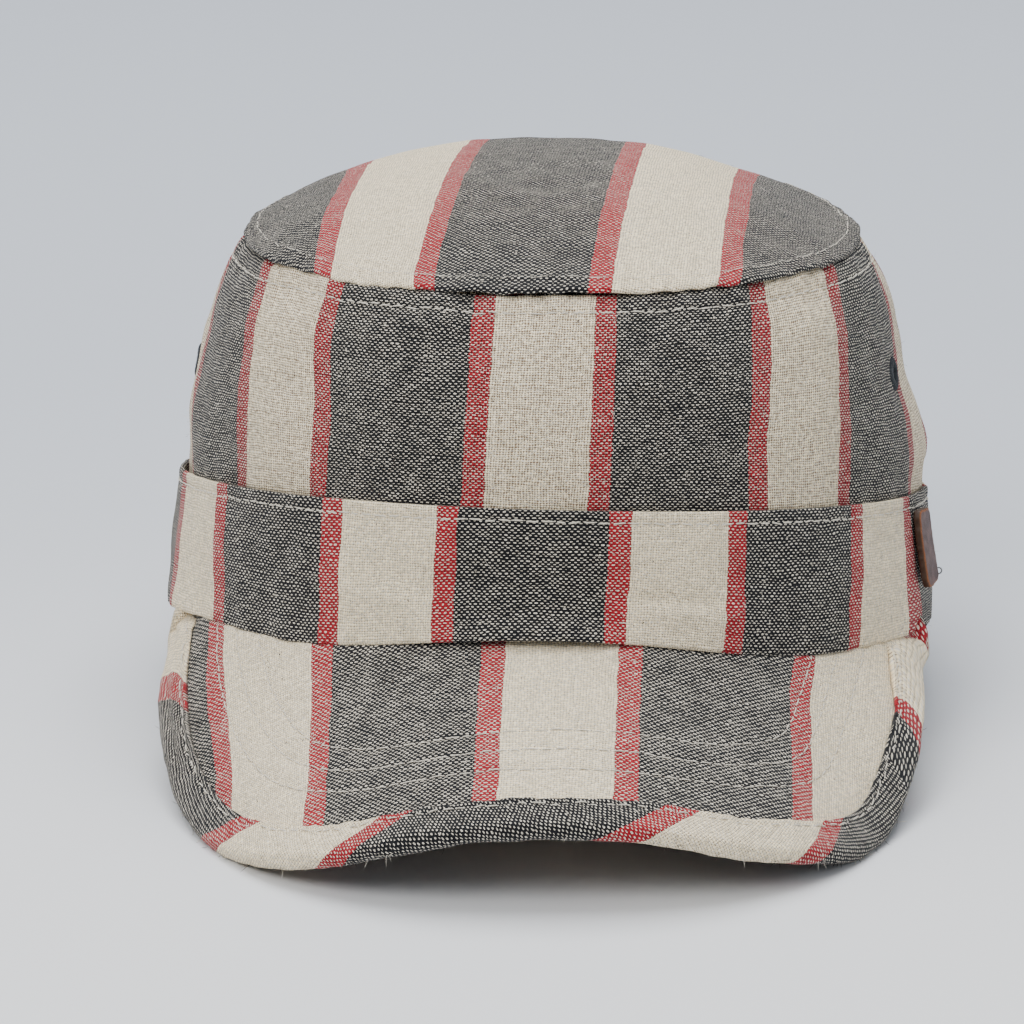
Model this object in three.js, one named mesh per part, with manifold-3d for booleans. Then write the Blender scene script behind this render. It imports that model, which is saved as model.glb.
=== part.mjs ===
// A cadet cap of striped cotton, standing empty on a table: a domed oval top, a wall round the
// crown, a band, a peak with a bound edge, two sewn eyelets and a leather tab on the band.
// Millimetres. +Z is up, the peak points along -Y, and angles run from the front (0) towards +X.
import * as THREE from 'three';
import { LoftGeometry } from 'three/addons/geometries/LoftGeometry.js';
import { mergeVertices } from 'three/addons/utils/BufferGeometryUtils.js';
import Module from 'manifold-3d';

const wasm = await Module();
wasm.setup();

// Cloth and seams
const CLOTH = 1.2;       // one wall of the crown, with its seam allowance
const GAP = 0.3;         // between two pieces that are sewn together
const SECTORS = 80;      // steps round the head

// How the empty cap stands: it leans back until the band's back edge rests
const LEAN = 11.4;
const PRESSED = 1.5;     // how much of the back edge the table presses flat

// Band: an upright strip round the head, 58 cm round inside
const BAND = {
  halfWidth: 90,
  halfLength: 100,
  squareness: 2.1,
  topInset: 2.05,
  height: 30.9,
  sideDrop: 2.3,
};

// Lower edge of the band: it rises over the middle of the peak and waves beside it
const BAND_HEM = [
  { angle: -180, height: 0.0 },
  { angle: -130, height: 0.3 },
  { angle: -90, height: 1.9 },
  { angle: -60, height: 2.0 },
  { angle: -35, height: 0.0 },
  { angle: 0, height: 3.0 },
  { angle: 35, height: -2.6 },
  { angle: 60, height: -2.5 },
  { angle: 90, height: -2.8 },
  { angle: 130, height: -0.4 },
  { angle: 180, height: 0.0 },
];

// Wall: it stands on the band, tucked behind its upper edge, and draws in under the top
const WALL = {
  tuck: 8,
  frontTop: 12.4,
  middleTop: 89.8,
  shoulder: 2.07,
  calmFoot: 0.12,
};

// Top: an oval panel with a soft dome
const TOP = {
  halfWidth: 72.5,
  halfLength: 83,
  squareness: 2.36,
  thickness: 1.3,
  rise: 17.0,
  flatness: 2.35,
  seamPull: 6,
  calmEdge: 10,
};

// Peak: a board covered in cloth, ruled from the band's lower edge to a rounded rim
const PEAK = {
  halfWidth: 87.1,
  reach: 150.6,
  back: 20,
  squareness: 2.73,
  shift: -2.7,
  turn: 0.5,
  board: 2.0,
  rootSpread: 60.4,
  rootEnds: 17.6,
  rootEase: 5,
  rootInset: 0.6,
  rootDrop: 1.3,
  rootDropAtEnds: 0.7,
  leftEnd: -0.955,
  rightEnd: 0.94,
  steps: 44,
};

// Height of the rim above the table: it arches between its two corners, which the cap's weight
// presses flat
const PEAK_RIM = [
  { angle: -90, height: 23.0 },
  { angle: -70, height: 5.5 },
  { angle: -50, height: -0.5 },
  { angle: -28, height: 4.6 },
  { angle: 0, height: 15.3 },
  { angle: 28, height: 5.8 },
  { angle: 50, height: -0.5 },
  { angle: 70, height: 10.5 },
  { angle: 90, height: 18.0 },
];

// Binding: a bias strip folded round the edge of the peak
const BINDING = {
  cloth: 1.0,
  width: 9.3,
  roll: 0.6,
  rootClearance: 1.6,
  steps: 52,
};

// Sewn eyelets, one on each side of the wall
const EYELET = {
  radius: 4.3,
  hole: 1.5,
  thickness: 2.2,
  round: 0.5,
  sides: 20,
  drill: 12,
};
const EYELET_LEFT = { angle: -84.5, up: 0.46 };
const EYELET_RIGHT = { angle: 71, up: 0.495 };

// Leather tab, sewn upright on the band, with its lower end curled away
const TAB = {
  fromAngle: 67.3,
  toAngle: 73.7,
  bottom: 8.3,
  top: 25.3,
  leather: 1.7,
  curl: 1.4,
  curlPower: 1.5,
  rows: [0, 0.2, 0.4, 0.7, 1],
  steps: 5,
};

// Folds and dents: centre, half size and how far the cloth stands out (+) or in (-). up is the
// share of the piece's height, or of its radius on the top. slant turns a fold, in degrees of
// angle for the whole height.
const FOLDS = [
  { piece: 'wall', angle: -47, up: 0.94, wide: 8, tall: 0.13, slant: 10, out: -1.7 },
  { piece: 'wall', angle: 46, up: 0.93, wide: 8, tall: 0.12, slant: -10, out: -1.3 },
  { piece: 'wall', angle: -103, up: 0.99, wide: 22, tall: 0.12, slant: 0, out: -1.6 },
  { piece: 'wall', angle: 103, up: 0.99, wide: 26, tall: 0.14, slant: 0, out: -1.8 },
  { piece: 'wall', angle: -88, up: 0.8, wide: 38, tall: 0.26, slant: 0, out: 1.0 },
  { piece: 'wall', angle: 89, up: 0.82, wide: 38, tall: 0.21, slant: 0, out: 1.1 },
  { piece: 'wall', angle: 88, up: 0.2, wide: 20, tall: 0.15, slant: 0, out: 2.0 },
  { piece: 'wall', angle: 76, up: 0.46, wide: 18, tall: 0.14, slant: 0, out: -1.2 },
  { piece: 'wall', angle: -100, up: 0.3, wide: 14, tall: 0.2, slant: 30, out: -1.2 },
  { piece: 'wall', angle: 135, up: 0.35, wide: 12, tall: 0.25, slant: -30, out: -1.6 },
  { piece: 'wall', angle: -150, up: 0.45, wide: 12, tall: 0.3, slant: 20, out: -1.5 },
  { piece: 'wall', angle: 172, up: 0.6, wide: 14, tall: 0.25, slant: 0, out: 1.2 },
  { piece: 'band', angle: -97, up: 0.38, wide: 24, tall: 0.3, slant: 0, out: 1.8 },
  { piece: 'band', angle: -2, up: 0.0, wide: 15, tall: 0.2, slant: 0, out: 1.9 },
  { piece: 'band', angle: -22, up: 0.3, wide: 7, tall: 0.16, slant: -30, out: 0.9 },
  { piece: 'band', angle: 27, up: 0.28, wide: 7, tall: 0.16, slant: 24, out: 0.8 },
  { piece: 'top', angle: -30, up: 0.82, wide: 9, tall: 0.1, slant: 60, out: -0.9 },
  { piece: 'top', angle: 52, up: 0.86, wide: 9, tall: 0.1, slant: -40, out: -0.7 },
  { piece: 'top', angle: 92, up: 0.82, wide: 42, tall: 0.28, slant: 0, out: -2.5 },
  { piece: 'top', angle: 150, up: 0.7, wide: 16, tall: 0.2, slant: 0, out: -1.2 },
];

const radians = THREE.MathUtils.degToRad;
const lerp = THREE.MathUtils.lerp;

// Value of a table's column at an angle: a cubic through the rows, with mean slopes at each row
function through(table, angle) {
  const last = table.length - 1;
  const slopeAt = (i) => {
    const before = table[Math.max(i - 1, 0)];
    const after = table[Math.min(i + 1, last)];
    return (after.height - before.height) / (after.angle - before.angle);
  };
  let i = 0;
  while (i < last - 1 && angle > table[i + 1].angle) i += 1;
  const span = table[i + 1].angle - table[i].angle;
  const t = (angle - table[i].angle) / span;
  const rise = t * t * (3 - 2 * t);
  const leave = t * (1 - t) * (1 - t) * span;
  const arrive = t * t * (t - 1) * span;
  const level = lerp(table[i].height, table[i + 1].height, rise);
  return level + leave * slopeAt(i) + arrive * slopeAt(i + 1);
}

// How far all folds of a piece move its cloth at a point
function foldsOf(piece, angle, up) {
  let out = 0;
  for (const fold of FOLDS.filter((row) => row.piece === piece)) {
    const turned = angle - fold.angle - fold.slant * (up - fold.up);
    const across = (((turned + 540) % 360) - 180) / fold.wide;
    const along = (up - fold.up) / fold.tall;
    out += fold.out * Math.exp(-across * across - along * along);
  }
  return out;
}

// A point of a rounded oval: squareness 2 is an ellipse, more is squarer
function oval(angle, halfWidth, halfLength, squareness) {
  const soft = (value) => Math.sign(value) * Math.abs(value) ** (2 / squareness);
  return {
    x: halfWidth * soft(Math.sin(radians(angle))),
    y: -halfLength * soft(Math.cos(radians(angle))),
  };
}

// From the upright cap to the leaning one. What would sink into the table is pressed flat on it.
function stand(x, y, height) {
  const sine = Math.sin(radians(LEAN));
  const cosine = Math.cos(radians(LEAN));
  const foot = BAND.halfLength * sine - PRESSED;
  const above = height * cosine - y * sine + foot;
  return new THREE.Vector3(x, y * cosine + height * sine, Math.max(0, above));
}

const bandTop = (angle) => BAND.height - BAND.sideDrop * Math.sin(radians(angle));
const seamHeight = (angle) => WALL.middleTop - WALL.frontTop * Math.cos(radians(angle));

// Outline of the band at a height, drawn in towards its upper edge
function bandOval(angle, height, inset) {
  const share = THREE.MathUtils.clamp(height / BAND.height, 0, 1);
  const inwards = BAND.topInset * share + inset;
  return oval(angle, BAND.halfWidth - inwards, BAND.halfLength - inwards, BAND.squareness);
}

function bandPoint(angle, up, inset) {
  const height = lerp(through(BAND_HEM, angle), bandTop(angle), up);
  const place = bandOval(angle, height, inset - foldsOf('band', angle, up));
  return stand(place.x, place.y, height);
}

// Below 0 the wall is tucked behind the band
function wallPoint(angle, up, inset) {
  const foot = bandTop(angle);
  if (up < 0) {
    const height = foot + up * WALL.tuck;
    const hidden = bandOval(angle, height, CLOTH + GAP + inset);
    return stand(hidden.x, hidden.y, height);
  }
  const drawn = up ** WALL.shoulder;
  const startInset = BAND.topInset + CLOTH + GAP;
  const outwards = foldsOf('wall', angle, up) * Math.min(1, up / WALL.calmFoot) - inset;
  const place = oval(
    angle,
    lerp(BAND.halfWidth - startInset, TOP.halfWidth, drawn) + outwards,
    lerp(BAND.halfLength - startInset, TOP.halfLength, drawn) + outwards,
    lerp(BAND.squareness, TOP.squareness, drawn),
  );
  const head = seamHeight(angle) - TOP.thickness - GAP;
  return stand(place.x, place.y, lerp(foot, head, up));
}

// The edge of the top follows the folds that the wall has there
function topPoint(angle, share, inset) {
  const pulled = foldsOf('wall', angle, 1) * share ** TOP.seamPull;
  const edge = oval(angle, TOP.halfWidth + pulled, TOP.halfLength + pulled, TOP.squareness);
  const plane = lerp(WALL.middleTop, seamHeight(angle), share);
  const dome = TOP.rise * (1 - share ** TOP.flatness);
  const folds = foldsOf('top', angle, share) * (1 - share ** TOP.calmEdge);
  return stand(edge.x * share, edge.y * share, plane + dome + folds - inset);
}

// The line along which the peak is sewn under the band, for side -1 (left) to 1 (right)
function peakRoot(side) {
  const angle = PEAK.rootSpread * side + PEAK.rootEnds * side * Math.abs(side) ** PEAK.rootEase;
  const height = through(BAND_HEM, angle) - lerp(PEAK.rootDrop, PEAK.rootDropAtEnds, side * side);
  const place = bandOval(angle, 0, PEAK.rootInset);
  return stand(place.x, place.y, height);
}

const BINDING_RADIUS = PEAK.board / 2 + GAP + BINDING.cloth;

// Middle of the rounded rim
function peakNose(side) {
  const angle = 90 * side;
  const inset = BINDING_RADIUS * BINDING.roll;
  const place = oval(angle, PEAK.halfWidth - inset, PEAK.reach - PEAK.back - inset, PEAK.squareness);
  const rim = new THREE.Vector3(place.x, place.y - PEAK.back, 0);
  rim.applyAxisAngle(new THREE.Vector3(0, 0, 1), radians(PEAK.turn));
  rim.x += PEAK.shift;
  rim.z = through(PEAK_RIM, angle) + BINDING_RADIUS;
  return rim;
}

const peakMiddle = (side, out) => peakRoot(side).lerp(peakNose(side), out);

// A point of the peak, moved off its middle surface by offset
function peakPoint(side, out, offset) {
  const step = 0.01;
  const across = peakMiddle(side + step, out).sub(peakMiddle(side - step, out));
  const along = peakNose(side).sub(peakRoot(side));
  const normal = new THREE.Vector3().crossVectors(along, across).normalize();
  return peakMiddle(side, out).addScaledVector(normal, offset);
}

// One closed skin from a geometry: shared corners merged, faces without area left out
function closedSkin(geometry) {
  const bare = new THREE.BufferGeometry();
  bare.setAttribute('position', geometry.attributes.position);
  bare.setIndex(geometry.index);
  const skin = mergeVertices(bare, 1e-4);
  const corners = Array.from(skin.index.array);
  const kept = [];
  for (let i = 0; i < corners.length; i += 3) {
    const face = corners.slice(i, i + 3);
    if (new Set(face).size === 3) kept.push(...face);
  }
  skin.setIndex(kept);
  if (toSolid(skin).volume() < 0) skin.setIndex(kept.toReversed());
  return skin;
}

// A closed body through rings of points. A loop of rings is closed on itself. Rings that end
// hold a face and then, in reverse, its far side, and their ends are drawn together between them.
function closedBody(rings, ends) {
  const drawnTogether = (ring) => ring.map((point, i) => point.clone().lerp(ring.at(-1 - i), 0.5));
  let rows = rings;
  if (ends === 'loop') rows = [...rings, rings[0]];
  if (ends === 'ends') rows = [drawnTogether(rings[0]), ...rings, drawnTogether(rings.at(-1))];
  return closedSkin(new LoftGeometry(rows));
}

function toSolid(geometry) {
  const vertProperties = new Float32Array(geometry.attributes.position.array);
  const triVerts = new Uint32Array(geometry.index.array);
  return new wasm.Manifold(new wasm.Mesh({ numProp: 3, vertProperties, triVerts }));
}

function fromSolid(solid) {
  const mesh = solid.getMesh();
  const geometry = new THREE.BufferGeometry();
  geometry.setAttribute('position', new THREE.BufferAttribute(mesh.vertProperties, 3));
  geometry.setIndex(new THREE.BufferAttribute(mesh.triVerts, 1));
  return geometry;
}

// What section gives at each step round the head, from back to back
function aroundHead(section) {
  const rings = [];
  for (let i = 0; i < SECTORS; i += 1) {
    rings.push(section((360 * i) / SECTORS - 180));
  }
  return rings;
}

function band() {
  const outside = [0, 0.1, 0.2, 0.32, 0.5, 0.75, 1];
  const inside = [1, 0.5, 0.2, 0];
  return closedBody(aroundHead((angle) => [
    ...outside.map((up) => bandPoint(angle, up, 0)),
    ...inside.map((up) => bandPoint(angle, up, CLOTH)),
  ]), 'loop');
}

function crownWall() {
  const outside = [-1, -0.05, 0.03, 0.14, 0.26, 0.4, 0.56, 0.72, 0.84, 0.93, 1];
  const inside = [1, 0.84, 0.56, 0.26, -1];
  return closedBody(aroundHead((angle) => [
    ...outside.map((up) => wallPoint(angle, up, 0)),
    ...inside.map((up) => wallPoint(angle, up, CLOTH)),
  ]), 'loop');
}

function crownTop() {
  const outside = [0, 0.12, 0.28, 0.45, 0.62, 0.76, 0.87, 0.95, 1];
  const inside = [1, 0.87, 0.62, 0.3, 0];
  const ring = (share, inset) => aroundHead((angle) => topPoint(angle, share, inset));
  return closedBody([
    ...outside.map((share) => ring(share, 0)),
    ...inside.map((share) => ring(share, TOP.thickness)),
  ], 'poles');
}

function peak() {
  const shares = [0, 0.2, 0.4, 0.6, 0.8, 1];
  const rings = [];
  for (let i = 0; i <= PEAK.steps; i += 1) {
    const side = lerp(PEAK.leftEnd, PEAK.rightEnd, i / PEAK.steps);
    rings.push([
      ...shares.map((out) => peakPoint(side, out, PEAK.board / 2)),
      ...shares.toReversed().map((out) => peakPoint(side, out, -PEAK.board / 2)),
    ]);
  }
  return closedBody(rings, 'ends');
}

// One face of the folded strip at a side: in from the upper edge, round the rim and back below
function bindingFace(side, radius) {
  const length = peakRoot(side).distanceTo(peakNose(side));
  const outwards = peakNose(side).sub(peakRoot(side)).normalize();
  const rim = peakNose(side + 0.01).sub(peakNose(side - 0.01)).normalize();
  const squareness = rim.cross(outwards).length();
  const width = (BINDING.width - BINDING_RADIUS) / squareness;
  const flange = Math.min(width, length - BINDING.rootClearance);
  const shares = [1 - flange / length, 1 - (0.5 * flange) / length, 1];
  const nose = [];
  for (const turn of [60, 30, 0, -30, -60]) {
    const height = radius * Math.sin(radians(turn));
    const reach = radius * Math.cos(radians(turn));
    nose.push(peakPoint(side, 1, height).addScaledVector(outwards, reach));
  }
  return [
    ...shares.map((out) => peakPoint(side, out, radius)),
    ...nose,
    ...shares.toReversed().map((out) => peakPoint(side, out, -radius)),
  ];
}

function peakBinding() {
  const rings = [];
  for (let i = 0; i <= BINDING.steps; i += 1) {
    const side = lerp(PEAK.leftEnd, PEAK.rightEnd, i / BINDING.steps);
    const ring = [
      ...bindingFace(side, BINDING_RADIUS),
      ...bindingFace(side, BINDING_RADIUS - BINDING.cloth).toReversed(),
    ];
    for (const point of ring) point.z = Math.max(0, point.z);
    rings.push(ring);
  }
  return closedBody(rings, 'ends');
}

// A ring of thread with a rounded edge, about the Y axis
function eyeletRing() {
  const half = EYELET.thickness / 2;
  const profile = [
    new THREE.Vector2(EYELET.hole, -half + EYELET.round),
    new THREE.Vector2(EYELET.hole + EYELET.round, -half),
    new THREE.Vector2(EYELET.radius - EYELET.round, -half),
    new THREE.Vector2(EYELET.radius, -half + EYELET.round),
    new THREE.Vector2(EYELET.radius, half - EYELET.round),
    new THREE.Vector2(EYELET.radius - EYELET.round, half),
    new THREE.Vector2(EYELET.hole + EYELET.round, half),
    new THREE.Vector2(EYELET.hole, half - EYELET.round),
  ];
  return closedSkin(new THREE.LatheGeometry([...profile, profile[0]], EYELET.sides));
}

// Turns a body whose axis is Y to stand in the wall at an eyelet's place
function wallSeat(place) {
  const middle = wallPoint(place.angle, place.up, CLOTH / 2);
  const sideways = wallPoint(place.angle + 1, place.up, CLOTH / 2).sub(middle);
  const upwards = wallPoint(place.angle, place.up + 0.02, CLOTH / 2).sub(middle);
  const outwards = new THREE.Vector3().crossVectors(sideways, upwards).normalize();
  const turn = new THREE.Quaternion().setFromUnitVectors(new THREE.Vector3(0, 1, 0), outwards);
  return new THREE.Matrix4().compose(middle, turn, new THREE.Vector3(1, 1, 1));
}

// The wall with a round hole for each eyelet
function piercedWall() {
  let wall = toSolid(crownWall());
  for (const place of [EYELET_LEFT, EYELET_RIGHT]) {
    const radius = EYELET.radius + GAP;
    const drill = closedSkin(new THREE.CylinderGeometry(radius, radius, EYELET.drill, EYELET.sides));
    wall = wall.subtract(toSolid(drill.applyMatrix4(wallSeat(place))));
  }
  return fromSolid(wall);
}

function leatherTab() {
  const rings = [];
  const heights = TAB.rows.map((up) => lerp(TAB.bottom, TAB.top, up));
  const face = (angle, height, inset) => {
    const up = (height - TAB.bottom) / (TAB.top - TAB.bottom);
    const curled = TAB.curl * (1 - up) ** TAB.curlPower;
    const place = bandOval(angle, height, inset - curled);
    return stand(place.x, place.y, height);
  };
  for (let i = 0; i <= TAB.steps; i += 1) {
    const angle = lerp(TAB.fromAngle, TAB.toAngle, i / TAB.steps);
    rings.push([
      ...heights.map((height) => face(angle, height, -GAP - TAB.leather)),
      ...heights.toReversed().map((height) => face(angle, height, -GAP)),
    ]);
  }
  return closedBody(rings, 'ends');
}

const STRIPED_COTTON = { color: 0xa39d95, roughness: 0.95, metalness: 0 };
const NAVY_THREAD = { color: 0x19232a, roughness: 0.8, metalness: 0 };
const BROWN_LEATHER = { color: 0x5f4641, roughness: 0.6, metalness: 0 };

function piece(name, geometry, finish) {
  const mesh = new THREE.Mesh(geometry, new THREE.MeshStandardMaterial(finish));
  mesh.name = name;
  return mesh;
}

const cap = new THREE.Group();
cap.add(piece('crown_top', crownTop(), STRIPED_COTTON));
cap.add(piece('crown_wall', piercedWall(), STRIPED_COTTON));
cap.add(piece('band', band(), STRIPED_COTTON));
cap.add(piece('peak', peak(), STRIPED_COTTON));
cap.add(piece('peak_binding', peakBinding(), STRIPED_COTTON));
cap.add(piece('leather_tab', leatherTab(), BROWN_LEATHER));
for (const [name, place] of [['eyelet_left', EYELET_LEFT], ['eyelet_right', EYELET_RIGHT]]) {
  const eyelet = piece(name, eyeletRing(), NAVY_THREAD);
  wallSeat(place).decompose(eyelet.position, eyelet.quaternion, eyelet.scale);
  cap.add(eyelet);
}

// The origin lies on the table, under the middle of the cap's box
const box = new THREE.Box3().setFromObject(cap);
const middle = box.getCenter(new THREE.Vector3());
cap.position.set(-middle.x, -middle.y, -box.min.z);

export default cap;
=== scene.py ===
"""A cadet cap of striped cotton, standing empty on a pale table.

The cap is dressed in the order in which it is sewn: the wall round the crown, the top, the eyelets,
the band, the peak, its binding and the leather tab. Sizes are millimetres and angles are degrees,
counted from the front (0) towards the wearer's left (+X), which is on the right in the picture.
"""

import bmesh
import bpy
import numpy as np
from mathutils import Matrix, Vector


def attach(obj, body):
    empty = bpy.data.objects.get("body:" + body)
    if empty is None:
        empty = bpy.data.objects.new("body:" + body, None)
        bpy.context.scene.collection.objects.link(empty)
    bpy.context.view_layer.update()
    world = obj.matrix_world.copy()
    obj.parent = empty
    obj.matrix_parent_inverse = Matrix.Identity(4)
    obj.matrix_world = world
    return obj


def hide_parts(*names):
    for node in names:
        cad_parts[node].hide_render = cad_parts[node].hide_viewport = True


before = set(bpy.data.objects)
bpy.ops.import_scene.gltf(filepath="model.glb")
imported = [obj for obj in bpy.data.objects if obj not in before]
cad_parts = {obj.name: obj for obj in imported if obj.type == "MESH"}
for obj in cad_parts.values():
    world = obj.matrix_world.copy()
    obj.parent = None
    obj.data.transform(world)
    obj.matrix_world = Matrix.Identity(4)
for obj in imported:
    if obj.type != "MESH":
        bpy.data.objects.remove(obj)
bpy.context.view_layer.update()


# The wall round the crown
# One strip of the striped cotton stands on the band, tucked behind its upper edge, and draws in
# towards the top. It is joined at the back, and its folds come from being pulled into the oval.
MM = 0.001
HEAD_X, HEAD_Y = 0.399, 23.143       # middle of the head's oval, seen from the middle of the cap's box
LEAN, PRESSED, HEEL = 11.4, 1.5, 100  # tilt of the empty cap, how much its heel is flattened, its length
BAND_SIZE = dict(half_width=90, half_length=100, squareness=2.1)
BAND_HEIGHT, BAND_SIDE_DROP, BAND_DRAWN_IN = 30.9, 2.3, 2.05
TOP_SIZE = dict(half_width=72.5, half_length=83, squareness=2.36)
TOP_MIDDLE, TOP_FRONT_DROP, TOP_THICK = 89.8, 12.4, 1.3
CLOTH, GAP = 1.2, 0.3
WALL_TUCK, WALL_SHOULDER, WALL_CALM_FOOT = 8, 2.07, 0.12
WALL_LIMIT = 1.03                     # share of its height up to which the wall keeps its shape
AROUND = 640                          # columns of the fine skins round the head
SINES = 24                            # sine waves in each unevenness of a cloth
FOLD = ("angle", "up", "wide", "tall", "slant", "out")
WALL_FOLDS = [
    (-47, 0.94, 8, 0.13, 10, -1.7),
    (46, 0.93, 8, 0.12, -10, -1.3),
    (-103, 0.99, 22, 0.12, 0, -1.6),
    (103, 0.99, 26, 0.14, 0, -1.8),
    (-88, 0.8, 38, 0.26, 0, 1.0),
    (89, 0.82, 38, 0.21, 0, 1.1),
    (88, 0.2, 20, 0.15, 0, 2.0),
    (76, 0.46, 18, 0.14, 0, -1.2),
    (-100, 0.3, 14, 0.2, 30, -1.2),
    (135, 0.35, 12, 0.25, -30, -1.6),
    (-150, 0.45, 12, 0.3, 20, -1.5),
    (172, 0.6, 14, 0.25, 0, 1.2),
]
SEAM_TO_STITCH = 3.7                  # from the top seam down to the row of stitches on the wall


def on_oval(angle, half_width, half_length, squareness):
    """A rounded oval: x = half_width sgn(sin) |sin|^(2/n) and y = -half_length sgn(cos) |cos|^(2/n),
    where n is the squareness and 2 gives an ellipse."""
    sine, cosine = np.sin(np.radians(angle)), np.cos(np.radians(angle))
    power = 2 / squareness
    x = half_width * np.sign(sine) * np.abs(sine) ** power
    y = -half_length * np.sign(cosine) * np.abs(cosine) ** power
    return x, y


def leaned(x, y, height):
    """The upright cap tipped back: y cos + height sin, and height cos - y sin + the lift that leaves
    PRESSED of its heel below the table, which is flattened onto it."""
    sine, cosine = np.sin(np.radians(LEAN)), np.cos(np.radians(LEAN))
    lift = HEEL * sine - PRESSED
    z = np.maximum(0, height * cosine - y * sine + lift)
    return np.stack(np.broadcast_arrays(x + HEAD_X, y * cosine + height * sine + HEAD_Y, z), -1)


def folds(table, angle, up):
    """Sum over the folds of out * exp(-across^2 - along^2). across is the angle from the fold's
    middle, turned by its slant, over its width, and along is the height from it over its tallness."""
    total = 0 * angle * up
    for row in table:
        fold = dict(zip(FOLD, row))
        turned = angle - fold["angle"] - fold["slant"] * (up - fold["up"])
        across = ((turned + 540) % 360 - 180) / fold["wide"]
        along = (up - fold["up"]) / fold["tall"]
        total = total + fold["out"] * np.exp(-across**2 - along**2)
    return total


def bumps(table, across, along):
    """Sum over the table's rows (a, wide, b, tall, size) of size * exp(-((across - a) / wide)^2 -
    ((along - b) / tall)^2): where the cloth is pulled sideways, or creased."""
    total = 0 * across * along
    for a, wide, b, tall, size in table:
        total = total + size * np.exp(-(((across - a) / wide) ** 2) - ((along - b) / tall) ** 2)
    return total


def unevenness(points, waves):
    """Sum over the table's rows (wavelength, height, seed) of the height times the mean of SINES sine
    waves, which run through space in seeded directions and are 0.7 to 1.4 wavelengths long."""
    total = 0
    for wavelength, height, seed in waves:
        rng = np.random.default_rng(seed)
        way = rng.normal(size=(3, SINES))
        way *= 2 * np.pi / (wavelength * rng.uniform(0.7, 1.4, SINES) * np.linalg.norm(way, axis=0))
        sines = np.sin(points @ way + rng.uniform(0, 2 * np.pi, SINES))
        total = total + height * sines.mean(-1) * np.sqrt(SINES)
    return total


def puckers(along, off_seam, pitch, height, reach):
    """Ripples that a seam draws into cloth: height exp(-(off_seam / reach)^2) times a sine along the
    seam, which a longer sine bends so that no two ripples are alike, plus half of one 1.7 as long."""
    bend = 1.9 * np.sin(2 * np.pi * along / (4.3 * pitch) + 0.6)
    ripple = np.sin(2 * np.pi * along / pitch + bend) + 0.5 * np.sin(2 * np.pi * along / (1.7 * pitch))
    return height * np.exp(-((off_seam / reach) ** 2)) * ripple


def groove(off_line, depth, width):
    """A stitched line presses the cloth in by depth exp(-(off_line / width)^2)."""
    return -depth * np.exp(-((off_line / width) ** 2))


def band_top(angle):
    """Height of the band's upper edge: BAND_HEIGHT less BAND_SIDE_DROP times the sine of the angle."""
    return BAND_HEIGHT - BAND_SIDE_DROP * np.sin(np.radians(angle))


def band_oval(angle, height, inset):
    """The band's oval at a height, drawn in by BAND_DRAWN_IN at its top and by inset all over."""
    inwards = BAND_DRAWN_IN * np.clip(height / BAND_HEIGHT, 0, 1) + inset
    width, length = BAND_SIZE["half_width"] - inwards, BAND_SIZE["half_length"] - inwards
    return on_oval(angle, width, length, BAND_SIZE["squareness"])


def seam_height(angle):
    """Height of the top seam: TOP_MIDDLE less TOP_FRONT_DROP times the cosine of the angle."""
    return TOP_MIDDLE - TOP_FRONT_DROP * np.cos(np.radians(angle))


def wall_face(angle, up, inset=0.0):
    """The wall's face for up 0 (band) to 1 (top seam): an oval that goes from the band's to the top's
    with up^WALL_SHOULDER, moved out by the folds. Below 0 it runs down behind the band."""
    above = np.clip(up, 0, WALL_LIMIT)
    drawn = above**WALL_SHOULDER
    start = BAND_DRAWN_IN + CLOTH + GAP
    out = folds(WALL_FOLDS, angle, above) * np.minimum(1, above / WALL_CALM_FOOT) - inset
    mixed = lambda key, less: (BAND_SIZE[key] - less) * (1 - drawn) + TOP_SIZE[key] * drawn
    x, y = on_oval(angle, mixed("half_width", start) + out, mixed("half_length", start) + out,
                   mixed("squareness", 0))
    head = seam_height(angle) - TOP_THICK - GAP
    hidden = np.clip(-up, 0, 1)
    x_tuck, y_tuck = band_oval(angle, band_top(angle) - hidden * WALL_TUCK, CLOTH + GAP + inset)
    height = band_top(angle) * (1 - above) + head * above - hidden * WALL_TUCK
    tucked = hidden > 0
    return leaned(np.where(tucked, x_tuck, x), np.where(tucked, y_tuck, y), height)


def unit(ways):
    """Each way divided by its length."""
    return ways / np.linalg.norm(ways, axis=-1, keepdims=True)


def outwards(face, across, along, step=(0.2, 0.004)):
    """Unit normals of a face: the cross product of its slopes across and along."""
    sideways = face(across + step[0], along) - face(across - step[0], along)
    upwards = face(across, along + step[1]) - face(across, along - step[1])
    return unit(np.cross(sideways, upwards))


FOLD_ROWS = 6                         # rows of points round a folded edge


def strip_section(rows, thickness, height):
    """The closed line round a strip of cloth of a height: up the face through rows (shares of the
    height), over the upper fold, down the back and round the lower fold. Both folds are half circles
    of half the thickness. Gives the share of the height and the depth below the face."""
    radius = thickness / 2
    turn = np.linspace(0, np.pi, FOLD_ROWS + 2)[1:-1]
    fold_up, fold_depth = radius * np.sin(turn) / height, radius * (1 - np.cos(turn))
    back = np.linspace(rows[-1], rows[0], max(4, len(rows) // 5))
    up = np.concatenate([rows, rows[-1] + fold_up, back, rows[0] - fold_up])
    depth = np.concatenate([0 * rows, fold_depth, 0 * back + thickness, fold_depth[::-1]])
    return up, depth


def run_length(points, axis):
    """Length of the line through the points along one axis, from its start."""
    steps = np.linalg.norm(np.diff(points, axis=axis), axis=-1)
    zero = np.zeros_like(np.take(steps, [0], axis=axis))
    return np.cumsum(np.concatenate([zero, steps], axis=axis), axis=axis)


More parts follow.
